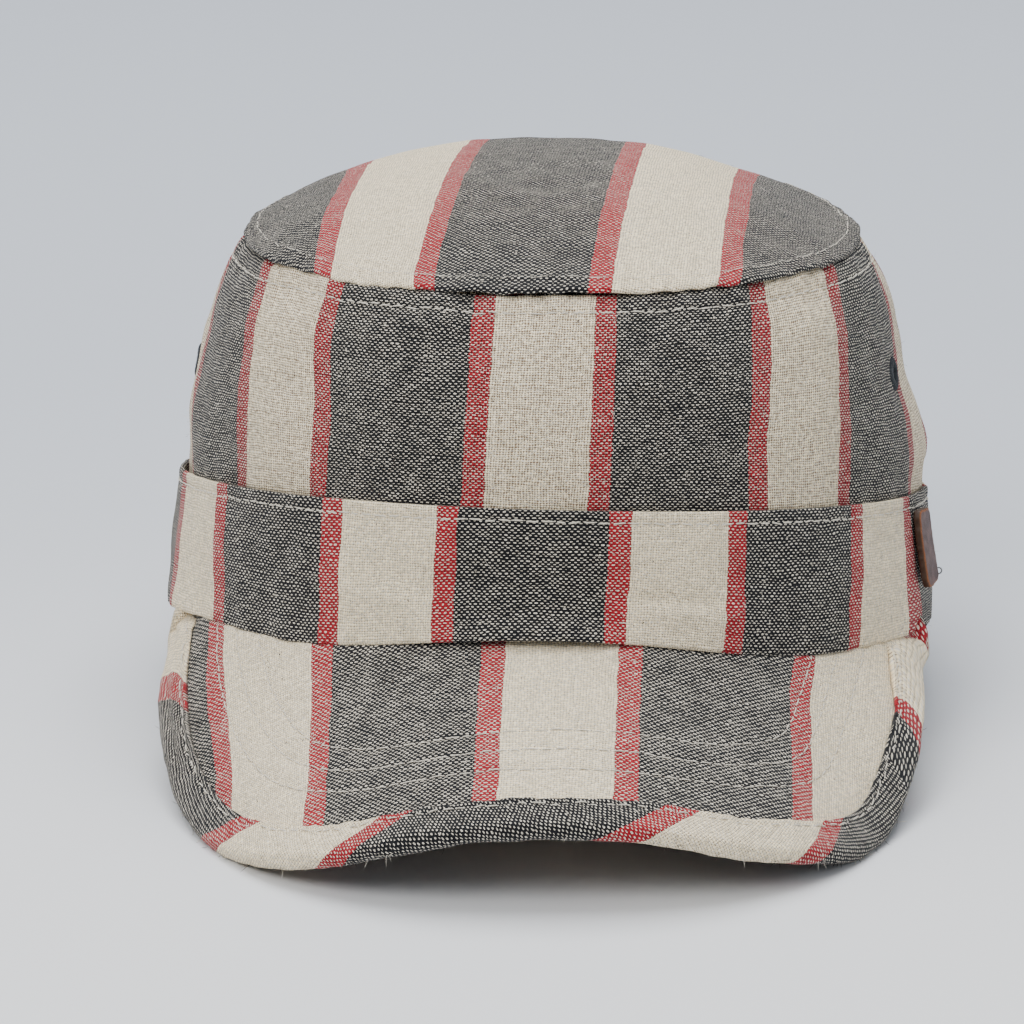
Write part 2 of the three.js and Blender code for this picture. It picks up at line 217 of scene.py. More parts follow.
def mesh_piece(name, points, faces, laid, material, apart=1e-7):
    """A piece from points in millimetres and quads, with the UV map "cloth" given for each corner of
    each quad. Points that meet are merged and the faces turned outwards."""
    flat = points.reshape(-1, 3).copy()
    flat[:, 2] = np.maximum(0, flat[:, 2])
    mesh = bpy.data.meshes.new(name)
    mesh.from_pydata((flat * MM).tolist(), [], faces.tolist())
    layer = mesh.uv_layers.new(name="cloth")
    layer.uv.foreach_set("vector", laid.astype(np.float32).ravel())
    work = bmesh.new()
    work.from_mesh(mesh)
    bmesh.ops.remove_doubles(work, verts=work.verts, dist=apart)
    bmesh.ops.recalc_face_normals(work, faces=work.faces)
    work.to_mesh(mesh)
    work.free()
    mesh.polygons.foreach_set("use_smooth", np.ones(len(mesh.polygons), bool))
    mesh.materials.append(material)
    piece = bpy.data.objects.new(name, mesh)
    bpy.context.scene.collection.objects.link(piece)
    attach(piece, "root")
    return piece


def sewn(name, points, cloth, material, round_head=True, loop_rows=True):
    """A piece made of quads between neighbouring rows and columns of points. Rows close on themselves
    if loop_rows, columns if round_head. cloth has one more row and column where they do, and is the
    place in the cloth, in millimetres."""
    rows, columns = points.shape[:2]
    row, column = np.meshgrid(np.arange(rows if loop_rows else rows - 1),
                              np.arange(columns if round_head else columns - 1), indexing="ij")
    corners = [(row, column), (row, column + 1), (row + 1, column + 1), (row + 1, column)]
    faces = np.stack([(r % rows) * columns + c % columns for r, c in corners], -1).reshape(-1, 4)
    laid = np.stack([cloth[r, c] for r, c in corners], 2)
    return mesh_piece(name, points, faces, laid, material)


def srgb(red, green, blue):
    """A screen colour (0 to 255) as the linear colour that a shader takes."""
    value = np.array([red, green, blue]) / 255
    linear = np.where(value <= 0.04045, value / 12.92, ((value + 0.055) / 1.055) ** 2.4)
    return (*linear, 1.0)


def fill(node, inputs):
    """Gives a node its inputs, by name or place: a wire is linked, anything else is set."""
    for entry, value in inputs.items():
        if isinstance(value, Wire):
            node.id_data.links.new(value.socket, node.inputs[entry])
        else:
            node.inputs[entry].default_value = value
    return node


class Wire:
    """One output of a shader node. Between wires and numbers, + - * / % ** and abs make a Math node."""

    def __init__(self, node, output=0):
        self.node, self.socket = node, node.outputs[output]

    def new(self, kind):
        """A new node of a kind in the same tree."""
        return self.node.id_data.nodes.new("ShaderNode" + kind)

    def maths(self, operation, *others):
        """One Math node."""
        node = self.new("Math")
        node.operation = operation
        return Wire(fill(node, dict(enumerate((self, *others)))))

    def __add__(self, other):
        return self.maths("ADD", other)

    def __sub__(self, other):
        return self.maths("SUBTRACT", other)

    def __mul__(self, other):
        return self.maths("MULTIPLY", other)

    def __truediv__(self, other):
        return self.maths("DIVIDE", other)

    def __mod__(self, other):
        return self.maths("FLOORED_MODULO", other)

    def __pow__(self, other):
        return self.maths("POWER", other)

    def __abs__(self):
        return self.maths("ABSOLUTE")

    def scaled(self, times, plus):
        """The value times a number, plus a number."""
        return self.maths("MULTIPLY_ADD", times, plus)

    def parts(self):
        """The x, y and z of a vector."""
        node = fill(self.new("SeparateXYZ"), {0: self})
        return Wire(node, 0), Wire(node, 1), Wire(node, 2)

    def stretched(self, x, y, z=1.0):
        """A vector scaled along each axis."""
        node = self.new("VectorMath")
        node.operation = "MULTIPLY"
        return Wire(fill(node, {0: self, 1: (x, y, z)}))

    def noise(self, scale, detail=2.0):
        """One Noise Texture at a vector. Its values lie round 0.5."""
        return Wire(fill(self.new("TexNoise"), {"Vector": self, "Scale": scale, "Detail": detail}), "Fac")

    def eased(self, start, end, low=0.0, high=1.0):
        """A smooth step of the value: low at start, high at end."""
        node = self.new("MapRange")
        node.interpolation_type = "SMOOTHSTEP"
        return Wire(fill(node, {"Value": self, "From Min": start, "From Max": end,
                                "To Min": low, "To Max": high}))


def blended(factor, first, second, mode="MIX"):
    """One Mix node, from the first colour to the second. The factor or the first colour is a wire."""
    node = (factor if isinstance(factor, Wire) else first).new("Mix")
    node.data_type, node.blend_type = "RGBA", mode
    return Wire(fill(node, {0: factor, 6: first, 7: second}), 2)


CREAM_ENDS, RED_ENDS, BLACK_ENDS = 37, 8, 52    # warp threads in each stripe of one repeat
REPEAT_ENDS = CREAM_ENDS + BLACK_ENDS + 2 * RED_ENDS
END_PITCH, PICK_PITCH = 0.6, 0.595              # from thread to thread, across and along
REPEAT = REPEAT_ENDS * END_PITCH
# The third colour is painted shade, multiplied into the gaps between the threads
CREAM, WEFT, GAP_SHADE = srgb(254, 236, 200), srgb(237, 228, 211), srgb(112, 84, 70)
RED, BLACK = srgb(166, 24, 38), srgb(12, 14, 20)
DARK_NEP, PALE_NEP = srgb(58, 44, 38), srgb(214, 206, 190)
WEAVE_RELIEF = 0.15


def yarn_dyed_weave():
    """Node group: plain weave with cream weft over a striped warp. Thread i and pick j are the whole
    parts of u / END_PITCH and v / PICK_PITCH. In pick j the weft lies on top at every second thread,
    as an ellipse (dx / a)^2 + (dy / b)^2 < 1 about the middle of that crossing; elsewhere the warp
    shows, in the colour of its place in the repeat. Painted shade makes the cloth darker towards the
    corners of each crossing, where bulge = |sin sin| falls to 0. Small gaps lie between four threads,
    painted dark with shade, and are wider where the cloth is single and light falls through it
    (Openness). Floats makes every float of the weft longer and wider."""
    tree = bpy.data.node_groups.new("yarn dyed plain weave", "ShaderNodeTree")
    for name, way, kind in (("Cloth mm", "INPUT", "Vector"), ("Openness", "INPUT", "Float"),
                            ("Floats", "INPUT", "Float"), ("Color", "OUTPUT", "Color"),
                            ("Height", "OUTPUT", "Float")):
        tree.interface.new_socket(name, in_out=way, socket_type="NodeSocket" + kind)
    come = tree.nodes.new("NodeGroupInput")
    place, openness, floats = Wire(come, 0), Wire(come, 1), Wire(come, 2)

    # The threads wander a little, over a hand's width and over a few millimetres
    x, y, _ = place.parts()
    wide = place.noise(0.09).scaled(1.1, -0.55)
    fine_u = place.stretched(0.9, 0.35).noise(1.0).scaled(0.6, -0.3)
    fine_v = place.stretched(0.25, 0.8, 3).noise(1.0).scaled(0.8, -0.4)
    threads = (x + (wide + fine_u)) / END_PITCH
    picks = (y + (wide + fine_v)) / PICK_PITCH
    thread, pick = threads.maths("FLOOR"), picks.maths("FLOOR")

    # The weft floats: place in the two-thread repeat of this pick, and in the pick
    pair = ((threads + pick % 2.0) * 0.5).maths("FRACT")
    dx, dy = pair.scaled(2.0, -1.0), picks.maths("FRACT") - 0.5
    slub, patch = place.stretched(0.35, 1.9).noise(1.0, 1.0), place.noise(0.16, 3.0)
    fullness = floats * (slub.scaled(1.1, 0.13) + patch * 0.62)
    weft_shows = ((dx / (fullness * 0.51)) ** 2.0 + (dy / (fullness * 0.25)) ** 2.0).eased(1.35, 0.65)

    # The warp's colour, from its place in the repeat
    stripes = place.new("ValToRGB")
    stripes.color_ramp.interpolation = "CONSTANT"
    starts = np.cumsum([0, CREAM_ENDS, RED_ENDS, BLACK_ENDS]) / REPEAT_ENDS
    while len(stripes.color_ramp.elements) < 4:
        stripes.color_ramp.elements.new(0.5)
    for element, start, colour in zip(stripes.color_ramp.elements, starts, (CREAM, RED, BLACK, RED)):
        element.position, element.color = start, colour
    fill(stripes, {0: ((thread + CREAM_ENDS // 2) % REPEAT_ENDS + 0.5) / REPEAT_ENDS})

    # Each crossing has a tone of its own, at random, and painted shade darkens its corners
    shade = place.new("TexWhiteNoise")
    shade.noise_dimensions = "2D"
    fill(shade, {"Vector": Wire(fill(place.new("CombineXYZ"), {0: thread, 1: pick}))})
    bulge = abs((threads * np.pi).maths("SINE") * (picks * np.pi).maths("SINE"))
    # Painted shade: the crossing's random tone is darkened towards its corners, between the threads
    tone_and_corner_shade = Wire(shade, "Value").scaled(0.36, 0.80) * bulge.eased(0.0, 0.5, 0.73, 1.0)
    grey = Wire(fill(place.new("CombineColor"), {0: tone_and_corner_shade, 1: tone_and_corner_shade, 2: tone_and_corner_shade}))
    woven = blended(1.0, blended(weft_shows, Wire(stripes, "Color"), WEFT), grey, "MULTIPLY")

    # Gaps between four threads, unevenly open and painted dark with shade, and neps: dark ones and pale
    # ones
    thread_edge, pick_edge = (abs((count + 0.5).maths("FRACT") - 0.5) for count in (threads, picks))
    loose = place.stretched(0.8, 0.8, 7).noise(1.0, 3.0).eased(0.36, 0.66, 0.03, 0.13)
    far = thread_edge**2.0 + pick_edge**2.0
    hole = (far / (loose * openness)).eased(1.0, 0.2, 0.0, 0.85)
    # Painted shade in the gaps between the threads
    gap_shaded = blended(hole, woven, blended(1.0, woven, GAP_SHADE, "MULTIPLY"))
    dark_nep = place.stretched(1.0, 0.8, 11).noise(1.15, 1.0).eased(0.735, 0.80)
    pale_nep = place.stretched(0.8, 1.1, 23).noise(0.9, 1.0).eased(0.72, 0.79)
    shown = blended(pale_nep, blended(dark_nep, gap_shaded, DARK_NEP), PALE_NEP)

    # Height: floats of the weft, the warp between them, and the gaps
    fill(tree.nodes.new("NodeGroupOutput"), {
        "Color": shown, "Height": bulge + weft_shows * 0.35 - hole * 0.8})
    return tree


WEAVE = yarn_dyed_weave()


def new_material(name, **values):
    """A material with values for the inputs of its shader, whose names are written with _ for space."""
    material = bpy.data.materials.new(name)
    material.use_nodes = True
    fill(material.node_tree.nodes["Principled BSDF"],
         {entry.replace("_", " "): value for entry, value in values.items()})
    return material


def painted(name, paint, **values):
    """A material whose paint takes the piece's own UV map as a wire and gives the colour, the height
    of its relief from 0 to 1, and how many millimetres that is."""
    material = new_material(name, **values)
    laid = material.node_tree.nodes.new("ShaderNodeUVMap")
    laid.uv_map = "cloth"
    colour, height, relief = paint(Wire(laid, "UV"))
    shader = fill(material.node_tree.nodes["Principled BSDF"], {"Base Color": colour})
    if relief:
        bump = fill(height.new("Bump"), {"Distance": relief * MM, "Height": height})
        fill(shader, {"Normal": Wire(bump, "Normal")})
    return material


def cotton(name, openness, floats):
    """Striped cotton: the weave with its painted gap shade, its relief, matt."""
    def woven(laid):
        weave = laid.new("Group")
        weave.node_tree = WEAVE
        fill(weave, {"Cloth mm": laid, "Openness": openness, "Floats": floats})
        return Wire(weave, "Color"), Wire(weave, "Height"), WEAVE_RELIEF
    return painted(name, woven, Roughness=0.92, Specular_IOR_Level=0.25, Sheen_Weight=0.12)


# Openness follows the single and the doubled cloth, and is also set so that the painted gap shade makes
# the wall darker, standing in for how the light falls on it.
SINGLE, DOUBLE = cotton("single striped cotton", 1.9, 1.0), cotton("doubled striped cotton", 0.5, 0.96)
angles = np.linspace(-180, 180, AROUND + 1)


def cloth_run(face, rows):
    """Length round the head at each row, from the front, which is where a stripe's threads are."""
    across, along = np.meshgrid(angles, rows)
    run = run_length(face(across, along), 1)
    front = np.argmin(np.abs(angles))
    return run - run[:, front:front + 1]


def closed_strip(name, face, rows, thickness, height, relief, lay, material):
    """A strip round the head. Its face is face(angle, up) moved out by relief(points, run, up), and
    lay(run, up) gives the place across the cloth of each point."""
    up, depth = strip_section(rows, thickness, height)
    up, depth = np.append(up, up[0]), np.append(depth, depth[0])
    across, along = np.meshgrid(angles, up)
    run = cloth_run(face, up)
    plain = face(across, along)
    normal = outwards(face, across, along)
    moved = plain + normal * (relief(plain, run, along) - depth[:, None])[..., None]
    down = np.cumsum(np.append(0, np.hypot(np.diff(up) * height, np.diff(depth))))
    cloth = np.stack([lay(run, along), np.broadcast_to(down[:, None], run.shape)], -1)
    return sewn(name, moved[:-1, :-1], cloth, material)


WALL_HEIGHT = 52                      # mean height of the wall's face
WALL_WAVES = [(34, 0.5, 1), (11, 0.13, 2)]
WALL_TURN_FROM, WALL_TURN_OVER, WALL_TURN_DEPTH = 0.98, 0.03, 0.5   # the edge turned in under the top
WALL_STRIPE = (3.9, 1.6)              # the front cream stripe left of the middle, at the band and the seam
WALL_REPEAT = (64.6, 62.5)            # of the wall that one repeat takes there
EYELET_RADIUS, EYELET_CALM = 4.3, 8   # the second is how far round an eyelet the cloth lies calm
EYELET_DENT, EYELET_DENT_REACH = 1.6, 3.4
EYELETS = {"eyelet_left": (-84.5, 0.46), "eyelet_right": (71, 0.495)}
WALL_PULLS = [
    (-50, 22, 0.68, 0.22, -2.2),
    (-58, 28, 0.3, 2, -1.1),
    (20, 14, 0.3, 2, -0.6),
    (57, 14, 0.7, 0.25, 1.1),
    (82, 14, 0, 0.5, -1.4),
    (-82, 14, 0.85, 0.35, -2.6),
]


def from_back_seam(run):
    """Distance from the seam at the back, where each row begins and ends."""
    return np.minimum(np.abs(run - run[:, :1]), np.abs(run - run[:, -1:]))


def wall_relief(points, run, up):
    """Unevenness of the cloth, puckers under the top seam and over the band, the groove of the
    stitches below the seam, the seam at the back, and the edge that turns in under the top. The cloth
    lies calm round the eyelets and is drawn in by EYELET_DENT exp(-(away / its reach)^6) under them."""
    eyelets = [wall_face(np.array([a]), np.array([b]))[0] for a, b in EYELETS.values()]
    away = np.min([np.linalg.norm(points - eyelet, axis=-1) for eyelet in eyelets], 0)
    calm = 1 - np.exp(-((away / EYELET_CALM) ** 4))
    dent = EYELET_DENT * np.exp(-((away / EYELET_DENT_REACH) ** 6))
    below_seam = (1 - up) * WALL_HEIGHT
    turned_in = np.clip((up - WALL_TURN_FROM) / WALL_TURN_OVER, 0, 1)
    return (calm * unevenness(points, WALL_WAVES) - dent
            + puckers(run, below_seam, pitch=8.5, height=0.22, reach=7)
            + puckers(run + 3, up * WALL_HEIGHT, pitch=11, height=0.16, reach=5)
            + groove(from_back_seam(run), depth=0.8, width=0.7)
            + groove(below_seam - SEAM_TO_STITCH, depth=0.22, width=0.6) - WALL_TURN_DEPTH * turned_in**2)


def wall_lay(run, up):
    """Across the cloth: from the front cream stripe, in repeats, both going evenly from their value at
    the band to the one at the seam."""
    share = np.clip(up, 0, 1)
    stripe, repeat = (low + (high - low) * share for low, high in (WALL_STRIPE, WALL_REPEAT))
    return (run - bumps(WALL_PULLS, run, share) + stripe) * REPEAT / repeat


# Rows of points, closer together at the stitches and under the top
stitch_up = 1 - SEAM_TO_STITCH / WALL_HEIGHT
wall_rows = np.unique(np.concatenate([
    np.linspace(-0.9, 0, 6), np.linspace(0, 0.9, 46), stitch_up + np.linspace(-0.025, 0.025, 9),
    np.linspace(0.9, 1.012, 14)]))
wall = closed_strip("wall_cloth", wall_face, wall_rows, CLOTH, WALL_HEIGHT, wall_relief, wall_lay, SINGLE)
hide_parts("crown_wall")


# The rows of topstitching
# Off-white cotton thread. Each stitch lies on the cloth from hole to hole and is drawn in at both
# ends, so that the cloth dips there.
THREAD, STITCH, STITCH_GAP = 0.36, 3.1, 0.25
STITCH_PLACES = np.array([0, 0.08, 0.25, 0.5, 0.75, 0.92, 1])   # along a stitch
STITCH_FULL = np.array([0, 0.7, 1, 1, 1, 0.7, 0])               # its thickness there
STITCH_DRAWN_IN = 1.3                 # its ends, in thicknesses


def two_ply(laid):
    """Two-ply thread: the twist along the stitch, raised at each ply, with painted shade in the grooves.
    """
    along, turned = laid.parts()[:2]
    ply_crest = abs((along * 9.0 + turned).maths("SINE"))
    # Painted shade: the thread is darker in the grooves between its plies
    return blended(ply_crest, srgb(186, 176, 160), srgb(232, 226, 212)), ply_crest, 0.05


THREAD_MATERIAL = painted("off-white thread", two_ply, Roughness=0.7, Sheen_Weight=0.1)


def needle_holes(length, rng):
    """Where the needle went through along a row: every STITCH, give or take a seeded tenth of it."""
    count = int(length / STITCH)
    return np.arange(count + 1) * length / count + rng.normal(0, 0.09 * STITCH, count + 1)


def at_places(at, run, values):
    """The values of a line at places along it: each column by proportion between its neighbours."""
    return np.stack([np.interp(at, run, column) for column in values.T], -1)


def ring(count, side, up):
    """Ways from the middle of a ring to its points: side cos + up sin, at even turns."""
    turn = np.linspace(0, 2 * np.pi, count + 1)[:-1, None]
    return np.cos(turn) * side[..., None, :] + np.sin(turn) * up[..., None, :]


def stitches(name, line, normal, seed, wander=0.12, thick=THREAD):
    """Stitches along a line on the cloth. Along a stitch, t goes from 0 to 1; its middle stands
    thick / 2 above the cloth, less (2t - 1)^4 of STITCH_DRAWN_IN thick, and its radius closes at both
    ends. Rings of six points are set across the line, in the plane of the cloth's normal."""
    rng = np.random.default_rng(seed)
    run = run_length(line, 0)
    ends = needle_holes(run[-1], rng)
    t = STITCH_PLACES
    start, stop = ends[:-1, None] + STITCH_GAP / 2, ends[1:, None] - STITCH_GAP / 2
    at = np.clip(start + (stop - start) * t, 0, run[-1])
    middle, up = at_places(at, run, line), unit(at_places(at, run, normal))
    side = unit(np.cross(np.gradient(middle, axis=1), up))
    slant = rng.normal(0, wander, (len(at), 2))
    sideways = slant[:, :1] * (1 - t) + slant[:, 1:] * t
    loose = rng.normal(0, 0.05, (len(at), 1)) * (1 - (2 * t - 1) ** 2)
    lift = thick * (0.5 - STITCH_DRAWN_IN * (2 * t - 1) ** 4) + loose
    middle = middle + side * sideways[..., None] + up * lift[..., None]
    radius = thick / 2 * STITCH_FULL[:, None, None]
    return tubes(name, middle[:, :, None] + radius * ring(6, side, up), at, THREAD_MATERIAL)


def tubes(name, points, at, material):
    """Closed tubes as one piece, from points (tube, station, turn, 3). Neighbouring rings are joined
    by quads, and the first and last ring of each tube are single points. at is the place along."""
    count, stations, turns = points.shape[:3]
    tube, station, turn = np.meshgrid(
        np.arange(count), np.arange(stations - 1), np.arange(turns), indexing="ij")
    corners = [(station, turn), (station, turn + 1), (station + 1, turn + 1), (station + 1, turn)]
    faces = np.stack([(tube * stations + s) * turns + k % turns for s, k in corners], -1).reshape(-1, 4)
    laid = np.stack([np.stack([at[tube, s], 2 * np.pi * k / turns], -1) for s, k in corners], 3)
    return mesh_piece(name, points, faces, laid, material, 1e-8)


def surface_line(face, relief, across, along, run):
    """Points and normals of a line on a relieved face."""
    plain, normal = face(across, along), outwards(face, across, along)
    return plain + normal * relief(plain, run, along)[..., None], normal


def ring_row(name, face, relief, up, seed, thick=THREAD):
    """A row of stitches round the head at one height of a strip."""
    line, normal = surface_line(face, relief, angles[None], np.full((1, AROUND + 1), up),
                                cloth_run(face, np.array([up])))
    row = stitches(name, line[0], normal[0], seed, thick=thick)


ring_row("stitches_under_seam", wall_face, wall_relief, stitch_up, 11)


# The top
# An oval panel sewn to the upper edge of the wall. Nothing holds it up inside, so it rises in a soft
# dome of its own, and the seam allowance under it makes a firm rounded edge.
TOP_RISE, TOP_FLATNESS, TOP_SEAM_PULL, TOP_CALM_EDGE = 17.0, 2.35, 6, 10
TOP_FOLDS = [
    (-30, 0.82, 9, 0.1, 60, -0.9),
    (-44, 0.84, 3.5, 0.13, 0, -0.8),
    (-37, 0.84, 4, 0.13, 0, 0.5),
    (52, 0.86, 9, 0.1, -40, -0.7),
    (92, 0.82, 42, 0.28, 0, -2.5),
    (150, 0.7, 16, 0.2, 0, -1.2),
]
STITCH_ABOVE_SEAM = 3.4
TOP_PULLS = [
    (-45, 22, -80, 30, -2.4),
    (-45, 22, 10, 35, 1.2),
    (-20, 12, -70, 30, -0.9),
    (22, 20, -20, 70, 1.8),
]


def top_face(angle, share):
    """The top for share 0 (middle) to 1 (seam): the seam's oval times share, at the seam's height plus
    TOP_RISE (1 - share^TOP_FLATNESS), with the folds. Its edge follows the wall's folds."""
    pulled = folds(WALL_FOLDS, angle, 1.0) * share**TOP_SEAM_PULL
    x, y = on_oval(angle, TOP_SIZE["half_width"] + pulled, TOP_SIZE["half_length"] + pulled,
                   TOP_SIZE["squareness"])
    plane = TOP_MIDDLE * (1 - share) + seam_height(angle) * share
    dome = TOP_RISE * (1 - share**TOP_FLATNESS)
    raised = folds(TOP_FOLDS, angle, share) * (1 - share**TOP_CALM_EDGE)
    return leaned(x * share, y * share, plane + dome + raised)


TOP_RADIUS = 78                       # mean radius of the top
TOP_WAVES = [(36, 0.26, 3), (12, 0.12, 4)]
TOP_CALM_MIDDLE = 0.125               # share of the way out over which the relief comes in
TOP_STRIPE, TOP_REPEAT, TOP_ALONG = 30.4, 65.2, 1.03
TOP_LEAN, TOP_LESS_LEAN, TOP_LESS_AT, TOP_LESS_WIDE = 0.088, 0.06, -55, 22
DOMED = cotton("domed striped cotton", 0.7, 0.87)


def top_relief(points, run, share):
    """Unevenness, puckers along the seam and the groove of the stitches beside it."""
    off_seam = (1 - share) * TOP_RADIUS
    come_in = np.clip(share / TOP_CALM_MIDDLE, 0, 1)
    return (come_in * unevenness(points, TOP_WAVES) + puckers(run, off_seam, pitch=8, height=0.2, reach=7)
            + groove(off_seam - STITCH_ABOVE_SEAM, depth=0.2, width=0.6))


def top_cloth():
    """The panel as a closed skin: from the middle out over its face, round the edge with a radius of
    half the thickness, and back to the middle underneath. Its thickness lies straight below its face
    on the upright cap. Its stripes lean, so the place across the cloth is x - lean * y, with less
    lean on the wearer's right, in repeats from TOP_STRIPE."""
    stitch = 1 - STITCH_ABOVE_SEAM / TOP_RADIUS
    radius = TOP_THICK / 2
    edge = 1 - radius / TOP_RADIUS
    rows = np.unique(np.concatenate([
        np.linspace(0.002, 0.9, 62), stitch + np.linspace(-0.016, 0.016, 9), np.linspace(0.9, edge, 10)]))
    turn = np.linspace(0, np.pi, FOLD_ROWS + 2)[1:-1]
    back = np.linspace(edge, 0.002, 16)
    share = np.concatenate([rows, edge + radius * np.sin(turn) / TOP_RADIUS, back])
    depth = np.concatenate([0 * rows, radius * (1 - np.cos(turn)), 0 * back + TOP_THICK])
    across, along = np.meshgrid(angles, share)
    plain = top_face(across, along)
    upright = leaned(0, 0, 200) - leaned(0, 0, 199)
    normal = outwards(top_face, across, np.maximum(along, 0.01))
    normal[along < 0.03] = upright
    run = cloth_run(top_face, share)
    moved = plain + normal * top_relief(plain, run, along)[..., None] - upright * depth[:, None, None]
    for pole in (0, -1):
        moved[pole] = moved[pole].mean(0)
    x, y = on_oval(across, TOP_SIZE["half_width"] * along, TOP_SIZE["half_length"] * along,
                   TOP_SIZE["squareness"])
    over_edge = np.concatenate([rows, edge + radius * turn / TOP_RADIUS, 2 * edge - back + 0.03])[:, None]
    x, y = x * over_edge / along, y * over_edge / along
    lean = TOP_LEAN - TOP_LESS_LEAN * np.exp(-(((x - TOP_LESS_AT) / TOP_LESS_WIDE) ** 2))
    unpulled = x - bumps(TOP_PULLS, x, y) - lean * y
    cloth = np.stack([(unpulled - TOP_STRIPE) * REPEAT / TOP_REPEAT, y * TOP_ALONG], -1)
    ring_row("stitches_over_seam", top_face, top_relief, stitch, 12, 0.3)
    return sewn("top_cloth", moved[:, :-1], cloth, DOMED, loop_rows=False)


top = top_cloth()
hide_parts("crown_top")


# The eyelets
# On each side of the wall, navy thread laid side by side in a ring from a small hole in its middle
# to the edge. The wall is drawn in under it, not cut through.
EYELET_HOLE, EYELET_THICK, EYELET_THREADS = 0.25, 2.3, 64
STRAND_DEPTH, STRANDS_UNEVEN, EYELET_DRAWN_IN, EYELET_DRAWN_REACH = 0.14, 0.03, 1.5, 1.5


def navy(laid):
    """Navy embroidery thread, lighter and darker in small patches at random."""
    tint = laid.stretched(1.5, 4.0).noise(1.0)
    return blended(tint, srgb(5, 9, 14), srgb(26, 38, 48)), None, 0


NAVY = painted("navy thread", navy, Roughness=0.6, Sheen_Weight=0.2)


def eyelet(name, angle, up):
    """A ring about the wall's normal. Its section is an ellipse from the hole to the edge, half a
    thickness high, and its radius swells and sinks by STRAND_DEPTH |cos| of the turn, once for each
    strand. The strands are drawn into the hole by EYELET_DRAWN_IN exp(-(reach / its reach)^2)."""
    middle = wall_face(np.array([angle]), np.array([up]), CLOTH / 2)[0]
    normal = outwards(wall_face, np.array([angle]), np.array([up]))[0]
    side = unit(np.cross([0.0, 0.0, 1.0], normal))
    upright = np.cross(normal, side)
    turn = np.linspace(0, 2 * np.pi, EYELET_THREADS * 8 + 1)
    section = np.linspace(0, 2 * np.pi, 25)
    across, along = np.meshgrid(turn, section)
    strand = 1 - STRAND_DEPTH + STRAND_DEPTH * np.abs(np.cos(across * EYELET_THREADS / 2))
    strand = strand + STRANDS_UNEVEN * np.sin(across * 17 + 2 * np.sin(across * 5))
    half = (EYELET_RADIUS - EYELET_HOLE) / 2
    reach = EYELET_HOLE + half + half * strand * np.cos(along)
    drawn_in = EYELET_DRAWN_IN * np.exp(-((reach / EYELET_DRAWN_REACH) ** 2))
    height = EYELET_THICK / 2 * strand * np.sin(along) - drawn_in
    points = (middle + side * (reach * np.cos(across))[..., None]
              + upright * (reach * np.sin(across))[..., None] + normal * height[..., None])
    cloth = np.stack([across * EYELET_THREADS, along], -1)
    piece = sewn(f"{name}_thread", points[:-1, :-1], cloth, NAVY)
    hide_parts(name)


for eyelet_name, (eyelet_angle, eyelet_up) in EYELETS.items():
    eyelet(eyelet_name, eyelet_angle, eyelet_up)


# The band
# A straight strip of the same cotton, folded at both edges and sewn over the foot of the wall. Its
# lower edge curls out over the middle of the peak.
BAND_HEM = [(-180, 0.0), (-130, 0.3), (-90, 1.9), (-60, 2.0), (-35, 0.0), (0, 3.0), (35, -2.6),
            (60, -2.5), (90, -2.8), (130, -0.4), (180, 0.0)]
BAND_FOLDS = [
    (-97, 0.38, 24, 0.3, 0, 1.8),
    (-2, 0.0, 15, 0.2, 0, 1.9),
    (-22, 0.3, 7, 0.16, -30, 0.9),
    (27, 0.28, 7, 0.16, 24, 0.8),
]
BAND_FLARES = [(-72, 0.0, 12, 0.25, 0, 2.0), (86, 0.05, 16, 0.25, 0, -0.8)]
BAND_STITCH = 2.8                     # below the band's upper edge
BAND_PULLS = [
    (-43, 12, 1, 0.7, 0.7),
    (-15, 10, 0.5, 2, -0.6),
    (50, 12, 1, 0.7, -1.3),
    (-98, 14, 0, 0.35, 1.6),
]
BAND_CREASES = [
    (27, 12, 0.35, 0.05, -0.6),
    (27, 13, 0.25, 0.06, 0.5),
    (-20, 10, 0.42, 0.08, -0.3),
]
LIP, LIP_UP, LIP_WIDE, LIP_AT = 1.4, 0.18, 19, -3   # the hem's curl over the middle of the peak
BAND_WAVES = [(30, 0.28, 5), (10, 0.1, 6)]
BAND_STRIPE, BAND_STRIPE_LEAN, BAND_REPEAT, BAND_CLOSER = 26.9, 1.5, 64.2, 0.02
FAN, FAN_FROM, FAN_OVER = 12, 97, 22  # the stripes fan out towards the hem on the far left


def through(table, angle):
    """A cubic through the rows (angle, height) of a table, whose slope at each row is the mean slope
    between its neighbours."""
    place, height = np.array(table, float).T
    slope = np.gradient(height)
    slope[1:-1] = (height[2:] - height[:-2]) / (place[2:] - place[:-2])
    slope[0] = (height[1] - height[0]) / (place[1] - place[0])
    slope[-1] = (height[-1] - height[-2]) / (place[-1] - place[-2])
    i = np.clip(np.searchsorted(place, angle) - 1, 0, len(place) - 2)
    span = place[i + 1] - place[i]
    t = (angle - place[i]) / span
    level = height[i] + (height[i + 1] - height[i]) * t * t * (3 - 2 * t)
    return level + t * (1 - t) ** 2 * span * slope[i] + t * t * (t - 1) * span * slope[i + 1]


def band_face(angle, up):
    """The band's face for up 0 (hem) to 1 (upper edge), moved out by its folds."""
    height = through(BAND_HEM, (angle + 180) % 360 - 180) * (1 - up) + band_top(angle) * up
    x, y = band_oval(angle, height, -folds(BAND_FOLDS + BAND_FLARES, angle, up))
    return leaned(x, y, height)


